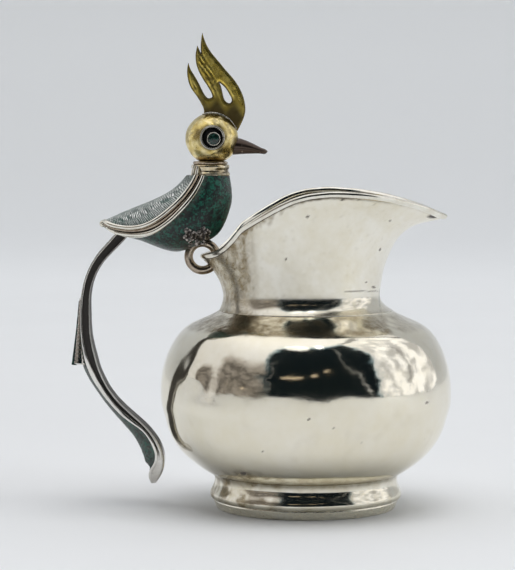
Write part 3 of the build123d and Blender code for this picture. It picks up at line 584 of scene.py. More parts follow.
NV = 96
u = np.linspace(0, 2 * np.pi, NU, endpoint=False)[:, None]
v = np.linspace(0, 1, NV)[None]
O = neck_surface(u, v)
for _ in range(10):                               # ease the join of flare and waist
    O[:, 1:-1] = 0.5 * O[:, 1:-1] + 0.25 * (O[:, :-2] + O[:, 2:])
for _ in range(6):
    O = 0.5 * O + 0.25 * (np.roll(O, 1, 0) + np.roll(O, -1, 0)) if False else O
du = np.roll(O, -1, 0) - np.roll(O, 1, 0)
dv = np.gradient(O, axis=1)
Nn = unit(np.cross(du, dv))
flat = O.reshape(-1, 3)
D = 0.20 * field(O, 17.0, 5.0) + 0.04 * field(O, 7.0, 6.0)
D = D * smoothstep(0, 0.12, v) * smoothstep(0, 0.1, 1.0 - v)
O = O + Nn * D[..., None]
I = O - Nn * SHEET
I[:, 0, 2] = NECK_Z0
rim_mid = 0.5 * (O[:, -1] + I[:, -1])
rim_up = unit(O[:, -1] - O[:, -3])
P = np.concatenate([O, I[:, ::-1]], 1)
n1, n2_, n3 = field(P, 4.0, 23.0, 2), field(P, 1.3, 24.0, 2), field(P * np.array([1.0, 1.0, 0.25]), 2.2, 25.0, 2)
drop = np.concatenate([np.linalg.norm(O - O[:, -1:], axis=-1), np.full(I.shape[:2], 99.0)], 1)
wide = 1.3 + 5.5 * smoothstep(2, -22, P[..., 0]) * smoothstep(-0.5, 0.5, n3)
under_rim = smoothstep(wide, wide * 0.25, drop) * (0.30 + 0.70 * smoothstep(20, -2, P[..., 0]))
stain_and_shade = 0.95 * under_rim * smoothstep(-0.75, 0.1, n2_)
# darker all up the left side of the neck
left = smoothstep(-12.5, -18.5, P[..., 0]) * smoothstep(58, 62, P[..., 2])
stain_and_shade += left * (0.75 + 0.5 * smoothstep(-0.3, 0.4, n3))
stain_and_shade += 0.55 * smoothstep(61.5, 58.5, P[..., 2]) * smoothstep(-12, -18, P[..., 0])
stain_and_shade += 0.35 * smoothstep(58.2, 56.8, P[..., 2])
stain_and_shade += 0.16 * smoothstep(0.35, 0.8, n2_)
black = 0.75 * smoothstep(0.42, 0.12, drop - 0.15) * smoothstep(30, 10, P[..., 0])
for px, py, r, q in ((431, 217, 1.5, 0.45), (305.7, 219, 0.32, 0.32), (285, 260, 0.28, 0.28), (378, 250, 0.3, 0.3), (387, 222, 0.25, 0.25),
                     (372, 287, 0.7, 0.2), (364, 282, 0.3, 0.2)):
    black = np.maximum(black, 0.9 * seen(P, *at(px, py), r, q, 0.35))
spk = smoothstep(0.55, 0.75, n2_) * seen(P, *at(345, 199), 18, 2.2)
black = np.maximum(black, 0.8 * spk)
hx0, hz0 = at(360, 291)
seam_l = smoothstep(0.22, 0.06, np.abs(P[..., 2] + 0.068 * P[..., 1] - hz0)) * smoothstep(340, 345, P[..., 0] / 0.286 + 306) * smoothstep(378, 376, P[..., 0] / 0.286 + 306)
seam_v = smoothstep(0.2, 0.05, np.abs(P[..., 0] - at(378.5, 0)[0])) * smoothstep(56.6, 57.5, P[..., 2]) * smoothstep(62.9, 62.2, P[..., 2] + 0.068 * P[..., 1])
black = np.maximum(black, 0.55 * np.maximum(seam_l, seam_v) * (P[..., 1] < 0))
outside = np.zeros(P.shape[:2]); outside[:, :O.shape[1]] = 1.0
neck = grid_piece("neck_and_lip_formed", P, True, True, M_NECK, "jug", replace=("neck_and_lip",), slot="silver",
                  attrs={"stain_and_shade": np.clip(stain_and_shade, 0, 1) * outside, "black": np.clip(black, 0, 1) * outside})

# hole for the perch ring
tp = torus_points(RING, RING_R, RING_WIRE_R + RING_CLEAR, 96, 32)
tm = bpy.data.meshes.new("ring_gap")
tm.from_pydata((tp.reshape(-1, 3) * MM).tolist(), [], quads(96, 32, True, True))
bm = bmesh.new(); bm.from_mesh(tm); bmesh.ops.recalc_face_normals(bm, faces=bm.faces); bm.to_mesh(tm); bm.free()
cutter = bpy.data.objects.new("ring_gap", tm)
bpy.context.scene.collection.objects.link(cutter)
mod = neck.modifiers.new("hole", "BOOLEAN")
mod.operation, mod.solver, mod.object = "DIFFERENCE", "EXACT", cutter
bpy.context.view_layer.update()
ev = neck.evaluated_get(bpy.context.evaluated_depsgraph_get())
cut = bpy.data.meshes.new_from_object(ev)
neck.modifiers.clear()
neck.data = cut
cut.materials.clear(); cut.materials.append(M_NECK)
cut.polygons.foreach_set("use_smooth", [True] * len(cut.polygons))
bpy.data.objects.remove(cutter)

path = rim_mid + rim_up * (RIM_WIRE_R * 0.85)
wob = field(path, 9.0, 8.0) * 0.10
tip = smoothstep(30, 38, path[:, 0])
sweep("rim_wire_soldered", path - rim_up * 0.12, RIM_WIRE_R * 0.93 + 0.05 * field(path, 5.0, 9.0) + 0.10 * tip, M_WIRE, "jug", closed=True, n=20,
      ref=rim_up, replace=("rim_wire",), slot="silver", flat=1.32)

# foot
def closed_profile(outer_pts, inner_pts, n):
    return np.concatenate([curve(outer_pts, n), curve(inner_pts, n)])


FO = [(27.1, 10.5), (26.35, 9.4), (26.1, 8.3), (26.5, 6.4), (27.35, 4.5), (27.3, 3.4), (26.9, 2.85)]
FI = [(24.7, 2.85), (25.7, 4.0), (25.8, 5.0), (25.4, 6.4), (25.1, 8.6), (25.2, 10.4)]
prof = closed_profile(FO, FI, 26)
P = turn(prof)
d = 0.16 * field(P, 12.0, 11.0) + 0.05 * field(P, 4.5, 12.0)
P = P + np.stack([np.cos(th)[:, None] * d, np.sin(th)[:, None] * d, 0.3 * d], -1)
P[..., 2] = np.maximum(P[..., 2], 2.82)
n1 = field(P, 3.2, 26.0, 2)
stain_and_shade = 0.95 * smoothstep(-4, -15, P[..., 0]) * smoothstep(-0.35, 0.35, n1) * (P[..., 1] < 4)
stain_and_shade += 0.45 * smoothstep(8.2, 9.6, P[..., 2]) + 0.15 * smoothstep(0.2, 0.7, n1)
grid_piece("foot_collar_raised", P, True, True, M_FOOT, "jug", replace=("foot_collar",), slot="silver",
           attrs={"stain_and_shade": np.clip(stain_and_shade, 0, 1)})
BO = [(23.2, 0.0), (25.2, 0.0), (25.55, 0.18), (25.8, 0.7), (26.1, 1.5), (26.4, 2.3), (26.3, 2.7), (25.9, 2.85), (23.2, 2.85)]
prof = np.concatenate([np.linspace(BO[i], BO[i + 1], 6, endpoint=False) for i in range(len(BO) - 1)]
                      + [np.linspace(BO[-1], BO[0], 6, endpoint=False)])
P = turn(prof)
d = 0.10 * field(P, 9.0, 14.0)
P[..., :2] += np.stack([np.cos(th)[:, None] * d, np.sin(th)[:, None] * d], -1)
grid_piece("foot_band", P, True, True, M_BAND, "jug", replace=("foot_base_ring",), slot="silver")

# ring of points along the seam where neck meets bowl; no solder fillet is built from it
seam = np.stack([NECK_R0 * np.cos(th), NECK_R0 * np.sin(th), np.full(NU, NECK_Z0)], 1)

# ---------------------------------------------------------------------------
# bird: ring, claws, body, borders, cape
# ---------------------------------------------------------------------------
P = torus_points(RING, RING_R, RING_WIRE_R, 160, 36)
c = P - np.array(RING)
P = P + unit(c) * (0.05 * field(P, 2.6, 20.0))[..., None]
grid_piece("perch_ring_wire", P, True, True, M_RING, "bird_handle", replace=("perch_ring",), slot="silver")

CHORDS = [((-33.9, 95.2), (-21.9, 95.2), 5.8), ((-36.2, 92.6), (-21.25, 91.4), 7.1),
          ((-39.4, 90.2), (-21.35, 87.3), 8.1), ((-42.4, 88.6), (-22.75, 82.6), 8.8),
          ((-45.1, 87.4), (-25.7, 77.9), 9.1), ((-47.6, 86.4), (-30.8, 75.3), 9.0),
          ((-50.0, 85.4), (-36.5, 73.4), 8.4), ((-52.4, 84.4), (-43.0, 74.9), 7.1),
          ((-54.6, 83.4), (-48.5, 76.9), 5.6), ((-56.4, 82.6), (-52.3, 77.9), 4.2),
          ((-57.7, 81.9), (-55.6, 79.7), 2.5), ((-58.2, 81.5), (-57.5, 80.8), 0.8)]
CH = np.array([[a[0], a[1], b[0], b[1], w] for a, b, w in CHORDS])
mid = 0.5 * (CH[:, :2] + CH[:, 2:4])
arc = np.r_[0, np.cumsum(np.linalg.norm(np.diff(mid, axis=0), axis=1))]


def body_at(sig):
    c = cubic(arc / arc[-1], CH, sig)
    return c[..., :2], c[..., 2:4], c[..., 4]


def body_pt(sig, t, off):
    """sig (n,1), t (n,m), off scalar or (n,m)."""
    p0, p1, w = body_at(sig[:, 0])
    L = np.linalg.norm(p1 - p0, axis=1)
    d = (p1 - p0) / L[:, None]
    cc = 0.5 * (p0 + p1)
    a = L[:, None] / 2 + off
    b = w[:, None] + off
    x = cc[:, 0:1] - d[:, 0:1] * a * np.cos(t)
    z = cc[:, 1:2] - d[:, 1:2] * a * np.cos(t)
    y = b * np.sin(t)
    return np.stack([x, y, z], -1)


INNER_B = [(-60.0, 83.6), (-58.2, 82.4), (-56.6, 81.6), (-54.5, 80.95), (-50.8, 80.5),
           (-47.2, 80.8), (-43.5, 82.2), (-39.9, 84.7), (-36.2, 88.0), (-33.3, 91.6),
           (-31.6, 94.6), (-30.6, 97.5)]
OUTER_B = [(-60.0, 81.4), (-58.0, 80.9), (-56.3, 80.1), (-53.8, 79.0), (-50.8, 78.5),
           (-47.2, 78.5), (-44.3, 79.1), (-41.4, 80.5), (-38.1, 83.0), (-34.8, 86.3),
           (-32.6, 88.9), (-30.8, 91.7), (-29.6, 94.2), (-28.6, 97.5)]


def cross_t(line, sig):
    """Angle round the section at which a side-view line crosses it."""
    q = curve(line, 500)
    p0, p1, _ = body_at(sig)
    out = np.zeros(len(sig))
    for i in range(len(sig)):
        d = p1[i] - p0[i]
        L = np.linalg.norm(d)
        d = d / L
        rel = q - p0[i]
        cr = d[0] * rel[:, 1] - d[1] * rel[:, 0]
        al = rel @ d
        k = np.where(np.sign(cr[:-1]) != np.sign(cr[1:]))[0]
        k = [j for j in k if -3.0 < al[j] < L + 3]
        if k:
            j = k[-1]
            f = cr[j] / (cr[j] - cr[j + 1])
            s = al[j] + (al[j + 1] - al[j]) * f
        else:
            s = 0.0
        out[i] = math.acos(1 - 2 * min(max(s / L, 0.0), 1.0))
    return out


CXC = -27.3
NS = 260
sig = np.linspace(0, 1, NS)
t_in, t_out = cross_t(INNER_B, sig), cross_t(OUTER_B, sig)
t_in = np.convolve(np.r_[[t_in[0]] * 3, t_in, [t_in[-1]] * 3], np.ones(7) / 7, "valid")
t_out = np.convolve(np.r_[[t_out[0]] * 3, t_out, [t_out[-1]] * 3], np.ones(7) / 7, "valid")
t_out = np.maximum(t_out, t_in + 0.02)
S = sig[:, None]

# breast and belly inlay
tau = np.linspace(0, 1, 220)[None]
T = t_out[:, None] + (2 * np.pi - 2 * t_out[:, None]) * tau
top = body_pt(S, T, 0.0)
belly_pts = top[top[..., 1] > 0.5]
rel = 0.05 * field(top, 1.3, 30.0, 2) + 0.10 * field(top, 6.0, 31.0)
top = body_pt(S, T, rel)
bot = body_pt(S, T[:, ::-1], -0.8)
P = np.concatenate([top, bot], 1)
belly_x = P[..., 0]
worn = smoothstep(-40, -54, P[..., 0]) * 0.9 + smoothstep(79.5, 75, P[..., 2]) * 0.30
near_edge = np.zeros(P.shape[:2]); near_edge[:, :top.shape[1]] = smoothstep(0.09, 0.0, np.minimum(tau, 1 - tau))
worn = worn + 0.75 * near_edge
worn = np.clip(worn + 0.5 * smoothstep(-23.2, -21.2, P[..., 0]), 0, 1)
grid_piece("body_inlay_stone", P, False, True, M_GREEN, "bird_handle", cap_u=True,
           replace=("body_inlay",), slot="green_stone", attrs={"worn": worn})

# cape: feather-cut inlay
tau = np.linspace(-1, 1, 240)[None]
T = t_in[:, None] * tau
top = body_pt(S, T, 0.22)
a = np.abs(tau)
rng = np.random.RandomState(7)
side = body_pt(S, T, 0.22)
along = np.broadcast_to((sig * 46.0)[:, None], T.shape)
cut = np.zeros(T.shape)
mark = np.zeros(T.shape)
for lo, hi, freq, slant, ph in ((0.22, 0.50, 1.9, 5.5, 0.0), (0.44, 0.74, 1.55, 6.5, 0.4), (0.70, 0.97, 1.9, 4.5, 0.9)):
    jitter = 0.55 * field(np.stack([along * 0.6, a * 4 + 0 * along, 0 * along + ph], -1), 0.8, 40.0 + ph)
    phase = along * freq / 1.6 - slant * (a - lo) + ph + jitter
    w = 0.5 - 0.5 * np.cos(2 * np.pi * phase)
    env = smoothstep(lo, lo + 0.07, a) * smoothstep(hi, hi - 0.07, a)
    strong = 1.0 if lo > 0.4 and lo < 0.6 else 0.55
    cell = field(np.stack([along * 0.5, a * 3 + 0 * along, 0 * along], -1), 1.1, 44.0 + ph)
    mark = np.maximum(mark, env * smoothstep(0.45, 0.8, w) * strong * smoothstep(-0.5, 0.05, cell))
    cut = np.maximum(cut, env * smoothstep(0.45, 0.1, w) * (0.9 if strong == 1.0 else 0.6))
mark *= smoothstep(0.02, 0.12, sig)[:, None] * smoothstep(0.98, 0.9, sig)[:, None]
h = 0.22 + 0.16 * mark - 0.20 * cut + 0.05 * field(top, 1.1, 41.0, 2)
h = h * smoothstep(1.0, 0.93, a) + 0.05 * (1 - smoothstep(1.0, 0.93, a))
top = body_pt(S, T, h)
bot = body_pt(S, T[:, ::-1], -0.8)
P = np.concatenate([top, bot], 1)
z = np.zeros(bot.shape[:2])
teal = smoothstep(0.1, 0.8, field(top, 2.4, 43.0) + 0.25) * smoothstep(0.35, 0.6, a)
grid_piece("back_inlay_feathers", P, False, True, M_FEATHER, "bird_handle", cap_u=True,
           replace=("back_inlay",), slot="feather_inlay",
           attrs={"mark": np.concatenate([mark, z], 1), "cut": np.concatenate([cut, z], 1),
                  "teal": np.concatenate([teal, z], 1)})

# border wires, on both sides
for nm, tt, node, rad, off in (("inner", t_in, "border_inner_", 0.62, 0.22), ("outer", t_out, "border_outer_", 0.66, 0.18)):
    for side, sgn in (("left", 1.0), ("right", -1.0)):
        c = body_pt(S, tt[:, None] * sgn, off)[:, 0]
        cen = body_pt(S, tt[:, None] * sgn, off - 1.0)[:, 0]
        c = c + unit(c - cen) * 0.05 * field(c, 2.5, 50.0)[:, None]
        taper = rad * (0.75 + 0.25 * smoothstep(0.0, 0.25, sig)) * (0.7 + 0.3 * smoothstep(1.0, 0.93, sig))
        if nm == "outer":
            taper = taper * (1 + 0.25 * smoothstep(0.55, 0.8, sig))
        sweep("cape_" + nm + "_border_" + side, c, taper, M_WIRE, "bird_handle", n=16, ref=unit(c - cen), flat=0.85,
              replace=(node + side,), slot="silver")
# tarnished silver band between the two borders, wide at the shoulder and dying out toward the rump
for side, sgn in (("left", 1.0), ("right", -1.0)):
    tm_ = t_in + (t_out - t_in) * 0.40
    c = body_pt(S, tm_[:, None] * sgn, 0.02)[:, 0]
    cen = body_pt(S, tm_[:, None] * sgn, -1.0)[:, 0]
    gap = np.linalg.norm(body_pt(S, t_in[:, None], 0.0)[:, 0] - body_pt(S, t_out[:, None], 0.0)[:, 0], axis=1)
    r_ = np.clip(0.30 * gap, 0.25, 0.75) * (1 - 0.45 * smoothstep(0.45, 0.7, sig)) + 0.05 * field(c, 1.8, 52.0)
    sweep("cape_middle_band_" + side, c, r_, M_RING, "bird_handle", n=14, ref=unit(c - cen), flat=0.7, slot="silver")
# tongues of silver that lap up over the collar
for side, sgn in (("left", 1.0), ("right", -1.0)):
    for k, (t0, t1) in enumerate((((-32.35, 3.4, 95.6), (-31.9, 3.7, 98.3)), ((-31.2, 4.5, 95.6), (-30.8, 4.7, 98.0)))):
        q = curve([(t0[0] - 0.3, t0[1] * sgn, t0[2] - 1.2), (t0[0], t0[1] * sgn, t0[2]), (t1[0], t1[1] * sgn, t1[2])], 24)
        cen = np.array([CXC, 0, 0]) * np.ones((24, 1)) + np.array([0, 0, 1]) * q[:, 2:3]
        rr_ = 0.55 * (1 - 0.45 * np.linspace(0, 1, 24) ** 3)
        sweep("cape_tongue_%s_%d" % (side, k), q, rr_, M_WIRE, "bird_handle", n=12, ref=unit(q - cen), flat=0.7, slot="silver")
# little ball that closes the borders at the rump
pb = body_at(np.array([1.0]))[0][0]
lathe("rump_bead", [(0.02, -1.05), (0.6, -0.85), (0.95, -0.45), (1.05, 0.0), (0.95, 0.45), (0.6, 0.85), (0.02, 1.05)],
      M_WIRE, "bird_handle", origin=(-58.0, 0, 81.35), axis="Y", n=40, slot="silver", wob=0.12)


# claws: small lumpy toes over the ring
def blob(name, balls, mat, vox, body, replace, amp=0.12, seed=60.0):
    bm = bmesh.new()
    for x, y, z, r in balls:
        res = bmesh.ops.create_icosphere(bm, subdivisions=3, radius=r * MM)
        bmesh.ops.translate(bm, verts=res["verts"], vec=Vector((x, y, z)) * MM)
    me = bpy.data.meshes.new(name)
    bm.to_mesh(me)
    bm.free()
    ob = bpy.data.objects.new(name, me)
    bpy.context.scene.collection.objects.link(ob)
    r = ob.modifiers.new("r", "REMESH")
    r.mode, r.voxel_size = "VOXEL", vox * MM
    s = ob.modifiers.new("s", "SMOOTH")
    s.factor, s.iterations = 0.5, 3
    bpy.context.view_layer.update()
    ev = ob.evaluated_get(bpy.context.evaluated_depsgraph_get())
    me2 = bpy.data.meshes.new_from_object(ev)
    ob.modifiers.clear()
    co = np.empty(len(me2.vertices) * 3); me2.vertices.foreach_get("co", co)
    no = np.empty(len(me2.vertices) * 3); me2.vertices.foreach_get("normal", no)
    co, no = co.reshape(-1, 3), no.reshape(-1, 3)
    co = co + no * (amp * field(co / MM, 0.9, seed, 2) * MM)[:, None]
    me2.vertices.foreach_set("co", co.ravel())
    me2.update()
    ob.data = me2
    me2.materials.clear(); me2.materials.append(mat)
    me2.polygons.foreach_set("use_smooth", [True] * len(me2.polygons))
    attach(ob, body)
    if replace:
        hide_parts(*replace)
    return ob


def chain(p, q, r0, r1, n=7):
    return [tuple(np.array(p) + (np.array(q) - np.array(p)) * k / (n - 1)) + (r0 + (r1 - r0) * k / (n - 1),) for k in range(n)]


for side, sg in (("right", -1.0), ("left", 1.0)):
    b = []
    for pts in (((-31.9, 6.7, 79.2), (-33.0, 5.0, 76.6), (-33.2, 1.9, 74.9)),
                ((-30.4, 6.9, 79.6), (-31.0, 4.8, 77.0), (-31.2, 1.9, 75.6)),
                ((-29.1, 6.7, 79.9), (-28.8, 4.6, 77.6), (-28.8, 1.9, 76.1))):
        b += chain(pts[0], pts[1], 0.95, 0.85) + chain(pts[1], pts[2], 0.85, 0.7)
    b += [(-30.2, 6.9, 80.2, 0.95), (-29.4, 6.9, 80.6, 0.7), (-31.6, 6.2, 78.4, 1.0), (-32.4, 5.9, 77.8, 0.7)]
    gr = np.random.RandomState(11)
    for k in range(60):
        gx_, gz_ = gr.uniform(-34.4, -27.4), gr.uniform(75.6, 80.6)
        if abs((gz_ - 78.3) + 0.10 * (gx_ + 31.0)) < 1.6 or gr.uniform() < 0.25:
            near = belly_pts[np.argmin(np.hypot(belly_pts[:, 0] - gx_, belly_pts[:, 2] - gz_))]
            b.append((near[0], near[1] + 0.12, near[2], gr.uniform(0.34, 0.66)))
    b += chain((-31.9, 6.7, 79.2), (-30.9, 5.4, 76.4), 0.6, 0.6)
    b = [(x, y * sg, z, r) for x, y, z, r in b]
    blob("perch_claw_lumps_" + side, b, M_CLAW, 0.2, "bird_handle", ("perch_claw_" + side,), 0.3)

# ---------------------------------------------------------------------------
# tail strap, its inlay, and the barb
# ---------------------------------------------------------------------------
TAIL = [(-51.6, 79.2, 136.0, 1.70, 1.60, 0.30, 2.8), (-53.4, 77.3, 137.0, 1.65, 1.55, 0.30, 3.0),
        (-55.7, 74.8, 138.4, 1.60, 1.45, 0.30, 3.3), (-58.1, 71.9, 143.5, 1.70, 1.20, 0.30, 3.6),
        (-60.1, 68.8, 151.9, 1.68, 1.05, 0.30, 3.9), (-61.6, 65.4, 161.5, 1.62, 1.05, 0.35, 4.1),
        (-62.5, 61.8, 169.5, 1.60, 1.15, 0.45, 4.3), (-62.95, 58.07, 175.0, 1.70, 1.40, 0.60, 4.5),
        (-63.1, 54.3, 178.9, 1.85, 1.62, 0.80, 4.7), (-63.05, 50.6, 183.2, 2.10, 1.75, 1.00, 4.9),
        (-62.7, 46.8, 188.5, 2.35, 1.98, 1.20, 5.1), (-61.95, 43.2, 194.9, 2.55, 2.10, 1.30, 5.2),
        (-60.8, 39.6, 202.0, 2.45, 2.00, 1.25, 5.1), (-59.2, 36.25, 209.0, 2.15, 1.85, 1.10, 4.9),
        (-57.2, 33.1, 215.0, 2.03, 1.65, 1.10, 4.7), (-54.9, 30.1, 219.7, 2.09, 1.67, 1.25, 4.7),
        (-52.4, 27.3, 222.0, 2.19, 1.88, 1.45, 4.8), (-49.85, 24.55, 221.5, 2.27, 2.20, 1.70, 5.1),
        (-47.45, 21.7, 216.3, 2.36, 2.65, 2.00, 5.4), (-45.45, 18.55, 206.7, 2.50, 3.15, 2.25, 5.6),
        (-44.15, 15.15, 194.5, 2.50, 3.45, 2.20, 5.4), (-43.6, 11.6, 184.0, 2.20, 3.00, 1.70, 4.6),
        (-43.62, 9.0, 182.0, 1.60, 2.00, 0.9, 3.5), (-43.75, 6.9, 180.0, 0.62, 0.72, 0.2, 1.3)]
TA = np.array(TAIL)
ta = np.r_[0, np.cumsum(np.hypot(np.diff(TA[:, 0]), np.diff(TA[:, 1])))]
NT = 300
tq = np.linspace(0, ta[-1], NT)
TS = cubic(ta, TA, tq)
zt = TS[:, 1]
end = smoothstep(9.5, 6.9, zt)
TS[:, 3:5] *= 1.0
TS[:, 5] *= 0.35 + 0.65 * smoothstep(8.5, 14.0, zt)
TS[:, 5] += 0.25 * smoothstep(58, 44, zt) * smoothstep(9, 14, zt) + 1.35 * smoothstep(28, 20, zt) * smoothstep(10.5, 16.0, zt)   # crown of the stone
fo = 0.36 + 0.95 * smoothstep(50, 36, zt) - 0.70 * smoothstep(27, 20, zt)     # outer sheet
fi = 0.34 + 0.10 * smoothstep(60, 40, zt) + 0.60 * smoothstep(23, 14, zt)     # inner sheet
gr = 1.0 * smoothstep(13.0, 18.5, zt)                                         # recess depth


def tail_frame(i):
    x, zc, ang = TS[i, 0], TS[i, 1], math.radians(TS[i, 2])
    return np.array([x, 0, zc]), np.array([math.cos(ang), 0, math.sin(ang)])


def rounded(poly, r, n=3):
    out = []
    m = len(poly)
    for i in range(m):
        p, a, b = poly[i], poly[i - 1], poly[(i + 1) % m]
        la, lb = np.linalg.norm(a - p), np.linalg.norm(b - p)
        ra = min(r, 0.42 * la, 0.42 * lb)
        pa, pb = p + (a - p) / max(la, 1e-9) * ra, p + (b - p) / max(lb, 1e-9) * ra
        for k in range(n + 1):
            f = k / n
            out.append((1 - f) ** 2 * pa + 2 * f * (1 - f) * p + f * f * pb)
    return np.array(out)


secs, shade_ = [], []
for i in range(NT):
    c, nrm = tail_frame(i)
    to, ti, cr, w = TS[i, 3:7]
    cr = min(cr, to + ti - 0.6)
    no = to - cr
    lip = 0.15
    f1 = min(fo[i], (no + ti) * 0.42)
    f2 = min(fi[i], (no + ti) * 0.45)
    g = min(max(gr[i], 0.02), w * 0.4)
    half = [(-ti, 0.0), (-ti, w * 0.3), (-ti, w * 0.62), (-ti + 0.42 * f2, w * 0.74), (-ti + 0.42 * f2, w * 0.90), (-ti + f2 * 0.5, w), (-ti + f2, w), (-ti + f2, w - g), (no - f1, w - g),
            (no - f1, w), (no + lip, w), (no + lip, w - 0.7), (no - 0.05, w - 0.75)]
    poly = [np.array(p) for p in half] + [np.array((n_, -y_)) for n_, y_ in half[:0:-1]]
    rp = rounded(poly, 0.22, 3)
    # painted shade: the floor of the groove and the inner face of the strap are made near-black through the black
    # attribute
    groove_shade = smoothstep(w - 0.25, w - 0.6, np.abs(rp[:, 1])) * (rp[:, 0] > -ti + f2 * 0.6) * (rp[:, 0] < no - f1 * 0.6) * gr[i]
    underside_shade = 0.95 * smoothstep(-ti + 0.30, -ti + 0.08, rp[:, 0]) * smoothstep(12, 18, zt[i])
    shade_.append(np.maximum(groove_shade * 0.96, underside_shade))
    secs.append(c + nrm * rp[:, 0:1] + np.array([0, 1.0, 0]) * rp[:, 1:2])
P = np.array(secs)
P = P + 0.035 * field(P, 3.0, 70.0)[..., None]
tail = grid_piece("tail_strap_wrought", P, False, True, M_TAIL, "bird_handle", cap_u=True,
                  replace=("tail_strap",), slot="silver", attrs={"black": np.array(shade_)})

# crown of crushed stone down the outer face
top_i = int(np.argmin(np.abs(zt - 77.0)))
tip_i = int(np.argmin(np.abs(zt - 10.4)))
idx = np.arange(top_i, tip_i + 1)


def crown(name, ia, ib, replace):
    rows, wr = [], []
    for i in range(ia, ib + 1):
        c, nrm = tail_frame(i)
        to, ti, cr, w = TS[i, 3:7]
        cr = min(cr, to + ti - 0.6)
        no = to - cr
        b = (w - 0.72) * (1.0 - smoothstep(15.5, 10.2, zt[i]) * 0.93)
        y = np.linspace(-b, b, 41)
        hgt = cr * (1 - np.abs(y / b) ** 1.7) * (1 - 0.9 * smoothstep(13.5, 10.2, zt[i])) + 0.02
        q = c + nrm * (no + hgt)[:, None] + np.array([0, 1.0, 0]) * y[:, None]
        rel = field(q, 0.9, 80.0, 2) * 0.06
        ridges = 0.5 + 0.5 * np.cos(2 * np.pi * (tq[i] / 1.1 + np.abs(y) * 0.55))
        q = q + nrm * (rel - 0.10 * smoothstep(0.75, 1.0, ridges) * smoothstep(0.1, 0.5, 1 - np.abs(y / b)))[:, None]
        yb = np.linspace(b, -b, 9)
        rows.append(np.concatenate([q, c + nrm * (no - 0.15) + np.array([0, 1.0, 0]) * yb[:, None]]))
    P = np.array(rows)
    worn = np.full(P.shape[:2], 0.35) + 0.3 * smoothstep(50, 30, P[..., 2])
    grid_piece(name, P, False, True, M_GREEN, "bird_handle", cap_u=True, replace=replace, slot="green_stone",
               attrs={"worn": np.clip(worn, 0, 1)})


cut_i = int(np.argmin(np.abs(zt - 41.6)))
crown("tail_inlay_stone_upper", top_i, cut_i, ("tail_inlay_upper",))
crown("tail_inlay_stone_lower", cut_i + 1, tip_i, ("tail_inlay_lower",))

# feather barb: a flared tuft with a silver edge and a stone face
def barb_sections(z0, z1, x_out0, x_out1, w0, w1, x_in0, x_in1, n=50, drop=0.0):
    rows = []
    for k in range(n):
        f = k / (n - 1)
        zz = z0 + (z1 - z0) * f
        xo = x_out0 + (x_out1 - x_out0) * f ** 1.25
        xi = x_in0 + (x_in1 - x_in0) * f
        w = w0 + (w1 - w0) * f ** 0.9
        a = np.linspace(-1, 1, 31)
        outer = np.stack([xo + 0.12 * f * np.abs(a) ** 4 + 0 * a, w * a, np.full(31, zz) + 0.15 * f * np.abs(a) ** 2], 1)
        ai = np.linspace(1, -1, 17)
        inner = np.stack([np.full(17, xi), w * 0.96 * ai, np.full(17, zz)], 1)
        rows.append(np.concatenate([outer, inner]))
    return np.array(rows)


P = barb_sections(60.0, 41.3, -64.7, -66.2, 1.6, 4.66, -63.3, -63.0)
hatch = 0.07 * np.sin(P[..., 2] * 5.2 + P[..., 0] * 3.0) * (np.abs(P[..., 1]) > 1.2)
P[..., 1] += np.sign(P[..., 1]) * hatch
grid_piece("tail_barb_silver", P, False, True, M_TAIL, "bird_handle", cap_u=True, replace=("tail_barb",), slot="silver")
P = barb_sections(59.2, 41.22, -64.95, -66.9, 1.5, 4.78, -64.6, -65.45)
P[..., 0] += 0.06 * field(P, 1.0, 90.0, 2)
grid_piece("barb_inlay_stone", P, False, True, M_GREEN, "bird_handle", cap_u=True, replace=("barb_inlay",),
           slot="green_stone", attrs={"worn": np.full(P.shape[:2], 0.0)})

# ---------------------------------------------------------------------------
# collar, head, eyes, beak, crest
# ---------------------------------------------------------------------------
CX = -27.3
col = [(4.3, 95.0), (5.45, 95.0), (5.62, 95.3), (5.55, 95.75), (5.3, 96.0), (5.12, 96.3), (5.1, 96.7), (5.22, 96.95), (5.38, 97.3), (5.42, 97.7),
       (5.35, 98.0), (5.15, 98.2), (4.3, 98.25)]
lathe("neck_collar_turned", col, M_COLLAR, "bird_handle", origin=(CX, 0, 0), n=120, replace=("neck_collar",), slot="brass")
bead = [(2.0, 98.25), (4.6, 98.25), (4.9, 98.4), (5.02, 98.7), (4.9, 99.0), (4.6, 99.15), (2.0, 99.2)]
lathe("collar_bead_turned", bead, M_RING, "bird_handle", origin=(CX, 0, 0), n=120, replace=("collar_bead",), slot="silver")

HC, HR = np.array([-26.9, 0, 105.6]), 7.24
nph, nth = 150, 220
ph = np.linspace(0.012, np.pi - 0.012, nph)[None]
tt = np.linspace(0, 2 * np.pi, nth, endpoint=False)[:, None]
Nn = np.stack([np.cos(tt) * np.sin(ph), np.sin(tt) * np.sin(ph), np.cos(ph) + 0 * tt], -1)
P = HC + Nn * HR
rr = 0.10 * field(P, 3.1, 100.0) + 0.035 * field(P, 1.3, 101.0)
rr = rr - 0.10 * np.exp(-(P[..., 1] / 0.14) ** 2)
P = HC + Nn * (HR + rr)[..., None]
P[..., 0] = HC[0] + (P[..., 0] - HC[0]) * 1.04
reye = np.hypot(P[..., 0] + 26.6, P[..., 2] - 105.9)
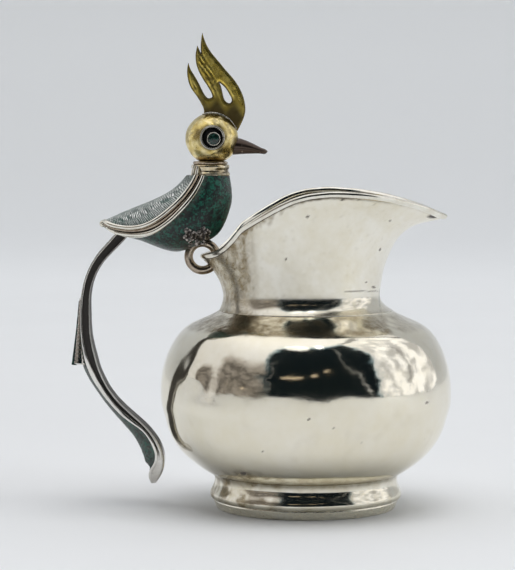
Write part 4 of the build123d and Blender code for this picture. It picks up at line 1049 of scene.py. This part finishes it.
# dark attribute: painted shade at the bottom of the head where it sits on the collar; darker too round the eye bezel,
# at the beak root and at the top under the crest, and in tarnish patches
dark = 0.75 * smoothstep(4.6, 3.5, reye) * smoothstep(-0.5, 0.3, field(P, 1.6, 130.0)) + 0.8 * smoothstep(-21.6, -20.2, P[..., 0]) * smoothstep(106.8, 105.6, P[..., 2])
dark += 0.7 * smoothstep(100.2, 98.9, P[..., 2]) + 0.45 * smoothstep(0.1, 0.7, field(P, 2.2, 131.0, 2)) + 0.35 * smoothstep(111.2, 112.4, P[..., 2])
dark = np.clip(dark, 0, 0.9)
P[..., 1] = np.where(reye < 2.95, np.sign(P[..., 1]) * np.minimum(np.abs(P[..., 1]), 5.9), P[..., 1])
grid_piece("head_ball", P, True, False, M_BRASS, "bird_handle", pole_v=True, replace=("head_half_left", "head_half_right"), slot="brass",
           attrs={"dark": dark})

for side, sg in (("left", 1.0), ("right", -1.0)):
    ox, oz = -26.6, 105.9
    bez = [(2.75, 6.4), (2.78, 7.05), (2.95, 7.45), (3.15, 7.62), (3.35, 7.58), (3.52, 7.3), (3.6, 6.8), (3.62, 6.2), (3.5, 5.9), (2.8, 5.9)]
    lathe("eye_bezel_rim_" + side, [(r, y * sg) for r, y in bez], M_BEZEL, "bird_handle", origin=(ox, 0, oz), axis="Y", n=96,
          replace=("eye_bezel_" + side,), slot="silver", wob=0.03)
    lathe("eye_well_" + side, [(0.02, 6.2 * sg), (2.82, 6.2 * sg), (2.82, 6.62 * sg), (2.2, 6.55 * sg), (0.02, 6.5 * sg)], M_WELL, "bird_handle",
          origin=(ox, 0, oz), axis="Y", n=72, slot="oxidised_silver")
    ex, ez = ox + 0.38, oz - 0.30
    a = np.linspace(0, 2 * np.pi, 16, endpoint=False)
    lathe("eye_ring_wire_" + side, [(1.80 + 0.17 * math.cos(q), (7.0 + 0.22 * math.sin(q)) * sg) for q in a], M_WIRE, "bird_handle",
          origin=(ex, 0, ez), axis="Y", n=72, replace=("eye_ring_" + side,), slot="silver")
    dome = [(0.02, 6.5)] + [(1.64, 6.5), (1.66, 6.85)] + [(1.64 * math.cos(q), 6.9 + 0.45 * math.sin(q)) for q in np.linspace(0.1, 1.55, 9)] + [(0.02, 7.36)]
    lathe("eye_stone_dome_" + side, [(r, y * sg) for r, y in dome], M_EYE, "bird_handle", origin=(ex, 0, ez), axis="Y", n=64,
          replace=("eye_stone_" + side,), slot="eye_stone")

BEAK = [((-21.8, 105.9), (-22.0, 101.0), 2.5), ((-19.2, 105.75), (-19.9, 101.05), 2.4),
        ((-17.0, 105.0), (-17.3, 101.25), 2.0), ((-14.6, 103.95), (-15.0, 101.3), 1.55),
        ((-12.4, 102.85), (-12.7, 101.25), 1.05), ((-11.35, 102.4), (-11.5, 101.35), 0.75), ((-11.0, 102.05), (-11.1, 101.7), 0.3)]
B = np.array([[a[0], a[1], b[0], b[1], w] for a, b, w in BEAK])
bq = np.r_[0, np.cumsum(np.hypot(np.diff(B[:, 0] + B[:, 2]), np.diff(B[:, 1] + B[:, 3])) / 2)]
BS = cubic(bq, B, np.linspace(0, bq[-1], 90))
rows = []
for x0, z0, x1, z1, w in BS:
    t = np.linspace(0, 2 * np.pi, 64, endpoint=False)
    c = np.array([(x0 + x1) / 2, 0, (z0 + z1) / 2])
    d = np.array([x1 - x0, 0, z1 - z0]) / 2
    sq = np.sign(np.cos(t)) * np.abs(np.cos(t)) ** 1.05
    yy = w * np.sin(t) * (1 - 0.12 * np.cos(2 * t))
    frac = (1 - sq) / 2
    frac = 1 - frac
    line = np.exp(-((np.cos(t) - 0.30) / 0.07) ** 2)
    rows.append(c + d * sq[:, None] + np.array([0, 1, 0]) * (yy * (1 - 0.10 * line))[:, None])
P = np.array(rows)
P = P + 0.03 * field(P, 1.2, 110.0)[..., None]
grid_piece("beak_cast", P, False, True, M_BEAK, "bird_handle", cap_u=True, replace=("beak",), slot="oxidised_silver")

# crest: sharp corners joined by smooth runs, meshed as a pillowed, engraved sheet
RUNS = [[(-29.57, 135.76), (-28.6, 132.8), (-27.0, 130.0), (-25.0, 127.6), (-23.02, 125.18), (-21.0, 122.9), (-19.3, 120.5),
         (-18.0, 117.7), (-17.4, 115.2), (-17.4, 113.0), (-18.25, 110.4), (-19.5, 107.9)],
        [(-19.5, 107.9), (-21.4, 107.0)], [(-21.4, 107.0), (-24.0, 110.4), (-27.0, 111.4), (-29.6, 111.0)],
        [(-29.6, 111.0), (-29.23, 112.4), (-29.11, 113.6), (-29.77, 115.37), (-31.23, 117.77), (-32.5, 119.5), (-33.35, 121.3),
         (-33.8, 123.3), (-33.86, 125.3), (-33.52, 127.16)],
        [(-33.52, 127.16), (-32.9, 125.3), (-32.03, 123.84), (-30.9, 121.9), (-29.89, 119.9), (-28.8, 117.9), (-28.1, 117.2),
         (-27.3, 117.1), (-26.75, 117.45), (-26.85, 118.2), (-27.6, 119.7), (-29.63, 122.9), (-30.7, 125.0), (-31.3, 127.0),
         (-31.45, 129.4), (-30.97, 132.05)],
        [(-30.97, 132.05), (-30.45, 130.9), (-29.95, 129.9)], [(-29.95, 129.9), (-30.0, 132.0), (-29.57, 135.76)]]
outl = []
for r in RUNS:
    n = max(3, int(sum(math.dist(a, b) for a, b in zip(r[:-1], r[1:])) / 0.22))
    outl += [tuple(p) for p in (curve(r, n) if len(r) > 2 else np.linspace(r[0], r[1], n))[:-1]]
HOLE = [(-24.7, 121.5), (-24.1, 119.8), (-23.6, 117.6), (-23.1, 116.4), (-22.4, 115.8),
        (-21.7, 115.7), (-21.2, 116.3), (-21.4, 117.3), (-22.1, 118.6), (-23.3, 120.3), (-24.7, 121.5)]
hole = [tuple(p) for p in curve(HOLE, 50)[:-1]]
poly, hol = np.array(outl), np.array(hole)


def inside(pts, pg):
    x, z = pts[:, 0], pts[:, 1]
    res = np.zeros(len(pts), bool)
    for (x0, z0), (x1, z1) in zip(pg, np.roll(pg, -1, 0)):
        c = (z0 > z) != (z1 > z)
        with np.errstate(divide="ignore", invalid="ignore"):
            xi = (x1 - x0) * (z - z0) / (z1 - z0 + 1e-15) + x0
        res ^= c & (x < xi)
    return res


def edge_dist(pts, pg):
    best = np.full(len(pts), 1e9)
    for a, b in zip(pg, np.roll(pg, -1, 0)):
        ab = b - a
        L = ab @ ab
        if L < 1e-12:
            continue
        t = np.clip(((pts - a) @ ab) / L, 0, 1)
        best = np.minimum(best, np.linalg.norm(pts - (a + t[:, None] * ab), axis=1))
    return best


gx, gz = np.meshgrid(np.arange(-34.2, -17.0, 0.26), np.arange(106.8, 136.0, 0.26))
gx = gx + 0.13 * (np.arange(gx.shape[0]) % 2)[:, None]
g = np.stack([gx.ravel(), gz.ravel()], 1)
ok = inside(g, poly) & ~inside(g, hol)
g = g[ok]
dd = np.minimum(edge_dist(g, poly), edge_dist(g, hol))
g = g[dd > 0.15]
nb, nh = len(poly), len(hol)
pts2 = [Vector(p) for p in poly] + [Vector(p) for p in hol] + [Vector(p) for p in g]
edges = [(i, (i + 1) % nb) for i in range(nb)] + [(nb + i, nb + (i + 1) % nh) for i in range(nh)]
ov, oe, of_, vo, eo, fo_ = geometry.delaunay_2d_cdt(pts2, edges, [], 0, 1e-6)
V2 = np.array([(p.x, p.y) for p in ov])
cent = np.array([V2[list(f)].mean(0) for f in of_])
keep = inside(cent, poly) & ~inside(cent, hol)
tris = [tuple(f) for f, k in zip(of_, keep) if k]
used = sorted({i for f in tris for i in f})
remap = {o: i for i, o in enumerate(used)}
V2 = V2[used]
tris = [tuple(remap[i] for i in f) for f in tris]
dist = np.minimum(edge_dist(V2, poly), edge_dist(V2, hol))
hgt = 0.20 + 0.28 * smoothstep(0.0, 0.8, dist)
# engraved lines that follow the plumes
flow = V2[:, 0] * 0.86 + V2[:, 1] * 0.50
lines = np.abs(((flow + 0.35 * np.sin(V2[:, 1] * 0.5)) / 1.15) % 1.0 - 0.5)
ridge_x = -26.2 - 0.42 * (V2[:, 1] - 122.0)
zone = smoothstep(116, 120, V2[:, 1]) * smoothstep(133, 129, V2[:, 1]) * smoothstep(ridge_x + 1.2, ridge_x - 0.2, V2[:, 0]) * smoothstep(-32.6, -31.6, V2[:, 0]) * smoothstep(0.3, 0.8, dist)
hgt = hgt - 0.13 * smoothstep(0.18, 0.02, lines) * zone
cnt = {}
for f in tris:
    for a, b in ((f[0], f[1]), (f[1], f[2]), (f[2], f[0])):
        cnt[(min(a, b), max(a, b))] = cnt.get((min(a, b), max(a, b)), 0) + 1
rim_e = [(a, b) for f in tris for a, b in ((f[0], f[1]), (f[1], f[2]), (f[2], f[0])) if cnt[(min(a, b), max(a, b))] == 1]
n2 = len(V2)
lean = 0.0 * V2[:, 1]
Vf = [(x, -h + l, z) for (x, z), h, l in zip(V2, hgt, lean)]
Vb = [(x, h + l, z) for (x, z), h, l in zip(V2, hgt, lean)]
F = tris + [(f[2] + n2, f[1] + n2, f[0] + n2) for f in tris] + [(b, a, a + n2, b + n2) for a, b in rim_e]
dk = smoothstep(0.62, 0.25, dist)
dk = np.maximum(dk, smoothstep(131.5, 134.5, V2[:, 1]))
dk = np.maximum(dk, smoothstep(0.9, 0.2, np.hypot(V2[:, 0] + 33.5, V2[:, 1] - 127.0) / 2.0))
dk = np.maximum(dk, 0.8 * smoothstep(0.9, 0.2, np.hypot(V2[:, 0] + 31.0, V2[:, 1] - 131.8) / 2.2))
dk = np.maximum(dk, 0.9 * smoothstep(119.0, 113.5, V2[:, 1] + 0.22 * (V2[:, 0] + 25.0) + 1.2 * np.sin(V2[:, 0] * 1.3)))
dk = np.maximum(dk, 0.7 * smoothstep(0.16, 0.03, lines) * zone)
blotch = field(np.stack([V2[:, 0], 0 * V2[:, 0], V2[:, 1]], 1), 1.5, 121.0, 2)
dk = np.maximum(dk, 0.75 * zone * smoothstep(-0.2, 0.5, blotch))
dk = np.maximum(dk, 0.6 * smoothstep(0.35, 0.8, blotch))
mesh_piece("crest_pierced", Vf + Vb, F, M_CREST, "bird_handle", replace=("crest",), slot="brass",
           attrs={"dark": np.r_[dk, dk]})

# saddle strip along the foot of the crest
ang = np.linspace(math.radians(112), math.radians(22), 70)
path = np.stack([HC[0] + (HR + 0.08) * np.cos(ang), 0 * ang, HC[2] + (HR + 0.08) * np.sin(ang)], 1)
for side, sg in (("left", 1.0), ("right", -1.0)):
    p = path.copy()
    p[:, 1] = sg * (0.62 + 0.05 * np.sin(ang * 20))
    p += 0.05 * field(p, 1.5, 120.0)[:, None]
    sweep("crest_saddle_strip_" + side, p, 0.30, M_WIRE, "bird_handle", n=12, ref=unit(p - HC), slot="silver",
          replace=("crest_saddle",))

# ---------------------------------------------------------------------------
# CAD nodes that stay: their own finish
# ---------------------------------------------------------------------------
for name, mat in (("body_shell", M_DARK), ("head_post", M_DARK)):
    o = nodes[name]
    o.data.materials.clear()
    o.data.materials.append(mat)
    for p in o.data.polygons:
        p.material_index = 0

# ---------------------------------------------------------------------------
# stage, surroundings and camera
# ---------------------------------------------------------------------------
def stage_mat(name, col, rough=0.6):
    m = Mat(name)
    n = m.noise(0.012, 3, 0.5)
    sp = m.t.nodes.new("ShaderNodeSeparateXYZ")
    m.link(m.co, sp.inputs[0])
    up = m.ramp(m.math("MULTIPLY", sp.outputs[2], 0.002), [(0.0, 0.0), (0.35, 1.0)])
    c = m.mix(m.ramp(n, [(0.3, 0.0), (0.7, 1.0)]), col, tuple(c * 0.985 for c in col))
    # painted light: the paper is lighter the higher it rises
    c = m.mix(up, c, tuple(min(1.0, q * 1.13) for q in col))
    # painted glow: the paper emits light, more the further back it lies
    far = m.ramp(m.math("MULTIPLY", sp.outputs[1], 0.001), [(0.12, 0.0), (1.0, 1.0)])
    return m.set(Base_Color=c, Roughness=rough, Specular_IOR_Level=0.2, Emission_Color=(0.97, 1.0, 1.02), Emission_Strength=m.math("MULTIPLY", far, 0.155))


rows = []
prof = [(-2.6, 0.0), (-0.6, 0.0), (0.0, 0.0), (1.35, 0.0)]
for k in range(1, 15):
    a = math.pi / 2 * k / 14
    prof.append((1.35 + 0.55 * math.sin(a), 0.55 * (1 - math.cos(a))))
prof.append((1.90, 2.4))
me = bpy.data.meshes.new("sweep_floor")
vs = []
for y, z in prof:
    for x in (-2.8, 2.8):
        vs.append((x, y, z))
me.from_pydata(vs, [], [(2 * i, 2 * i + 1, 2 * i + 3, 2 * i + 2) for i in range(len(prof) - 1)])
me.polygons.foreach_set("use_smooth", [True] * len(me.polygons))
me.materials.append(stage_mat("floor_paper", (0.77, 0.785, 0.80)))
floor = bpy.data.objects.new("sweep_floor", me)
bpy.context.scene.collection.objects.link(floor)

world = bpy.data.worlds.new("surround")
bpy.context.scene.world = world
world.use_nodes = True
t = world.node_tree
t.nodes.clear()
wo = t.nodes.new("ShaderNodeOutputWorld")
bg = t.nodes.new("ShaderNodeBackground")
t.links.new(bg.outputs[0], wo.inputs[0])
tc = t.nodes.new("ShaderNodeTexCoord")
sep = t.nodes.new("ShaderNodeSeparateXYZ")
t.links.new(tc.outputs["Generated"], sep.inputs[0])


def wm(op, a, b=0.0, c=None, clamp=False):
    n = t.nodes.new("ShaderNodeMath")
    n.operation = op
    n.use_clamp = clamp
    for i, x in enumerate((a, b) if c is None else (a, b, c)):
        if isinstance(x, (int, float)):
            n.inputs[i].default_value = x
        else:
            t.links.new(x, n.inputs[i])
    return n.outputs[0]


def wstep(a, b, x):
    n = t.nodes.new("ShaderNodeMapRange")
    n.interpolation_type = "SMOOTHSTEP"
    n.inputs["From Min"].default_value = a
    n.inputs["From Max"].default_value = b
    t.links.new(x, n.inputs["Value"])
    return n.outputs["Result"]


X, Y, Z = sep.outputs[0], sep.outputs[1], sep.outputs[2]
elev = wm("MULTIPLY", wm("ARCSINE", Z), 57.2958)
az = wm("MULTIPLY", wm("ARCTAN2", X, wm("MULTIPLY", Y, -1.0)), 57.2958)      # 0 behind the camera, + to the right
def wnoise(scale, detail=3.0, rough=0.5):
    n = t.nodes.new("ShaderNodeTexNoise")
    n.inputs["Scale"].default_value = scale
    n.inputs["Detail"].default_value = detail
    n.inputs["Roughness"].default_value = rough
    t.links.new(tc.outputs["Generated"], n.inputs["Vector"])
    return n.outputs["Fac"]


jit = wm("MULTIPLY", wm("SUBTRACT", wnoise(3.2, 4.0, 0.6), 0.5), 30.0)
az2, el2 = wm("ADD", az, jit), wm("ADD", elev, wm("MULTIPLY", jit, 0.4))
eedge = wm("ADD", elev, wm("MULTIPLY", wm("SUBTRACT", wnoise(7.0, 3.0), 0.5), 4.0))
floor_line = wstep(-8.5, -6.8, eedge)
core = wm("MULTIPLY", wm("MULTIPLY", wstep(-42, -34, az2), wstep(64, 59, az2)), wm("MULTIPLY", floor_line, wstep(72, 63, el2)))
left = wm("MULTIPLY", wm("MULTIPLY", wstep(-86, -78, az2), wstep(-33, -38, az2)), wm("MULTIPLY", floor_line, wstep(44, 30, el2)))
mott = wstep(0.35, 0.65, wnoise(9.0, 5.0, 0.65))
left_v = wm("ADD", 0.60, wm("MULTIPLY", mott, 0.30))
top = wstep(30, 75, elev)
base = wm("ADD", 0.80, wm("MULTIPLY", top, 0.40))
val = wm("MULTIPLY", base, wm("SUBTRACT", 1.0, wm("MULTIPLY", core, 0.986)))
val = wm("MULTIPLY", val, wm("SUBTRACT", 1.0, wm("MULTIPLY", left, left_v)))
# pale doorway on the right, with its frame
door = wm("MULTIPLY", wm("MULTIPLY", wstep(64, 67, az2), wstep(128, 122, az2)), wm("MULTIPLY", floor_line, wstep(66, 58, el2)))
shade = wstep(0.42, 0.60, wnoise(4.5, 3.0))
val = wm("ADD", val, wm("MULTIPLY", door, wm("SUBTRACT", 0.42, wm("MULTIPLY", shade, 0.62))))


def line(x, c, w):
    return wm("SUBTRACT", 1.0, wstep(w * 0.5, w, wm("ABSOLUTE", wm("SUBTRACT", x, c))))


frame_l = wm("MULTIPLY", line(az2, 131.0, 3.0), wm("MULTIPLY", wstep(-10, -8, elev), wstep(74, 64, el2)))
frame_b = wm("MULTIPLY", line(eedge, -8.6, 1.5), wm("MULTIPLY", wstep(66, 70, az2), wstep(134, 130, az2)))
frame_t = wm("MULTIPLY", line(el2, 68.0, 2.2), wm("MULTIPLY", wstep(60, 70, az2), wstep(134, 128, az2)))
frame_c = wm("MULTIPLY", line(az2, 96.0, 1.6), wm("MULTIPLY", wstep(0, 8, elev), wstep(52, 44, el2)))
val = wm("MULTIPLY", val, wm("SUBTRACT", 1.0, wm("MULTIPLY", wm("MAXIMUM", wm("MAXIMUM", frame_l, frame_b), wm("MAXIMUM", frame_t, wm("MULTIPLY", frame_c, 0.5))), 0.72)))
# thin bright edges inside the dark part of the room
crack = wm("MULTIPLY", line(wm("ADD", az2, wm("MULTIPLY", elev, 0.30)), 55.0, 0.75), wm("MULTIPLY", wstep(-6, -2, elev), wstep(66, 60, elev)))
crack2 = wm("MULTIPLY", line(wm("SUBTRACT", az2, wm("MULTIPLY", elev, 0.12)), -36.0, 0.6), wm("MULTIPLY", wstep(2, 8, elev), wstep(46, 40, elev)))
glint = wm("ADD", wm("MULTIPLY", crack, 0.5), wm("MULTIPLY", crack2, 0.2))


# soft lamps
def spot(a0, e0, ra, re, gain):
    da = wm("DIVIDE", wm("SUBTRACT", az, a0), ra)
    de = wm("DIVIDE", wm("SUBTRACT", elev, e0), re)
    d = wm("ADD", wm("MULTIPLY", da, da), wm("MULTIPLY", de, de))
    return wm("MULTIPLY", wstep(1.25, 0.7, d), gain)


lamps = wm("ADD", spot(-15, 27, 9, 1.3, 0.8), spot(5.5, 29, 4.5, 1.8, 0.6))
lamps = wm("ADD", lamps, spot(19, 33, 2.5, 1.2, 0.7))
lamps = wm("ADD", lamps, spot(-52, 8, 2.0, 1.2, 0.7))
glint = wm("ADD", glint, wm("ADD", spot(-20, 66, 18, 5.5, 1.3), spot(20, 70, 9, 5, 2.0)))
comb = t.nodes.new("ShaderNodeCombineColor")
cold = wm("MULTIPLY", core, 0.45)
hot = wm("MULTIPLY", lamps, 1.0)
brown = wm("MULTIPLY", left, 0.10)
t.links.new(wm("ADD", wm("MULTIPLY", val, wm("ADD", wm("SUBTRACT", 1.0, cold), brown)), hot), comb.inputs[0])
t.links.new(wm("ADD", wm("MULTIPLY", val, wm("SUBTRACT", 1.0, wm("MULTIPLY", cold, 0.2))), wm("MULTIPLY", hot, 0.82)), comb.inputs[1])
t.links.new(wm("ADD", wm("MULTIPLY", val, wm("SUBTRACT", wm("ADD", 1.02, wm("MULTIPLY", cold, 0.2)), brown)), wm("MULTIPLY", hot, 0.6)), comb.inputs[2])
addg = t.nodes.new("ShaderNodeVectorMath")
addg.operation = "ADD"
t.links.new(comb.outputs[0], addg.inputs[0])
t.links.new(glint, addg.inputs[1])
lp = t.nodes.new("ShaderNodeLightPath")
pick = t.nodes.new("ShaderNodeMix")
pick.data_type = "RGBA"
pick.inputs[7].default_value = (0.66, 0.675, 0.685, 1)
t.links.new(lp.outputs["Is Camera Ray"], pick.inputs[0])
t.links.new(addg.outputs[0], pick.inputs[6])
t.links.new(pick.outputs[2], bg.inputs["Color"])
bg.inputs["Strength"].default_value = 0.97


def area(name, loc, target, size, power, col=(1, 1, 1)):
    l = bpy.data.lights.new(name, "AREA")
    l.shape, l.size, l.size_y, l.energy, l.color = "RECTANGLE", size[0], size[1], power, col
    o = bpy.data.objects.new(name, l)
    bpy.context.scene.collection.objects.link(o)
    o.location = loc
    o.rotation_euler = (Vector(target) - Vector(loc)).to_track_quat("-Z", "Y").to_euler()
    o.visible_glossy = False
    return o


area("ceiling_light", (0.15, -0.25, 1.3), (0, 0, 0.05), (1.1, 0.9), 7.0, (1.0, 0.985, 0.96))
area("window_right", (1.2, -0.5, 0.55), (0, 0, 0.06), (0.5, 0.7), 3.0, (0.95, 0.98, 1.0))

scene = bpy.context.scene
scene.view_settings.view_transform = "Standard"
cam = bpy.data.cameras.new("camera")
cam.sensor_fit = "HORIZONTAL"
cam.sensor_width = 36.0
W_MM, DIST = 515 * 0.286, 690.0
cam.lens = 36.0 * (math.hypot(DIST, 111.0 - 63.8)) / W_MM
cam.clip_start, cam.clip_end = 0.02, 20.0
co = bpy.data.objects.new("camera", cam)
bpy.context.scene.collection.objects.link(co)
co.location = (-0.01387, -DIST * MM, 0.111)
co.rotation_euler = (Vector((-0.01387, 0, 0.0638)) - co.location).to_track_quat("-Z", "Y").to_euler()
scene.camera = co
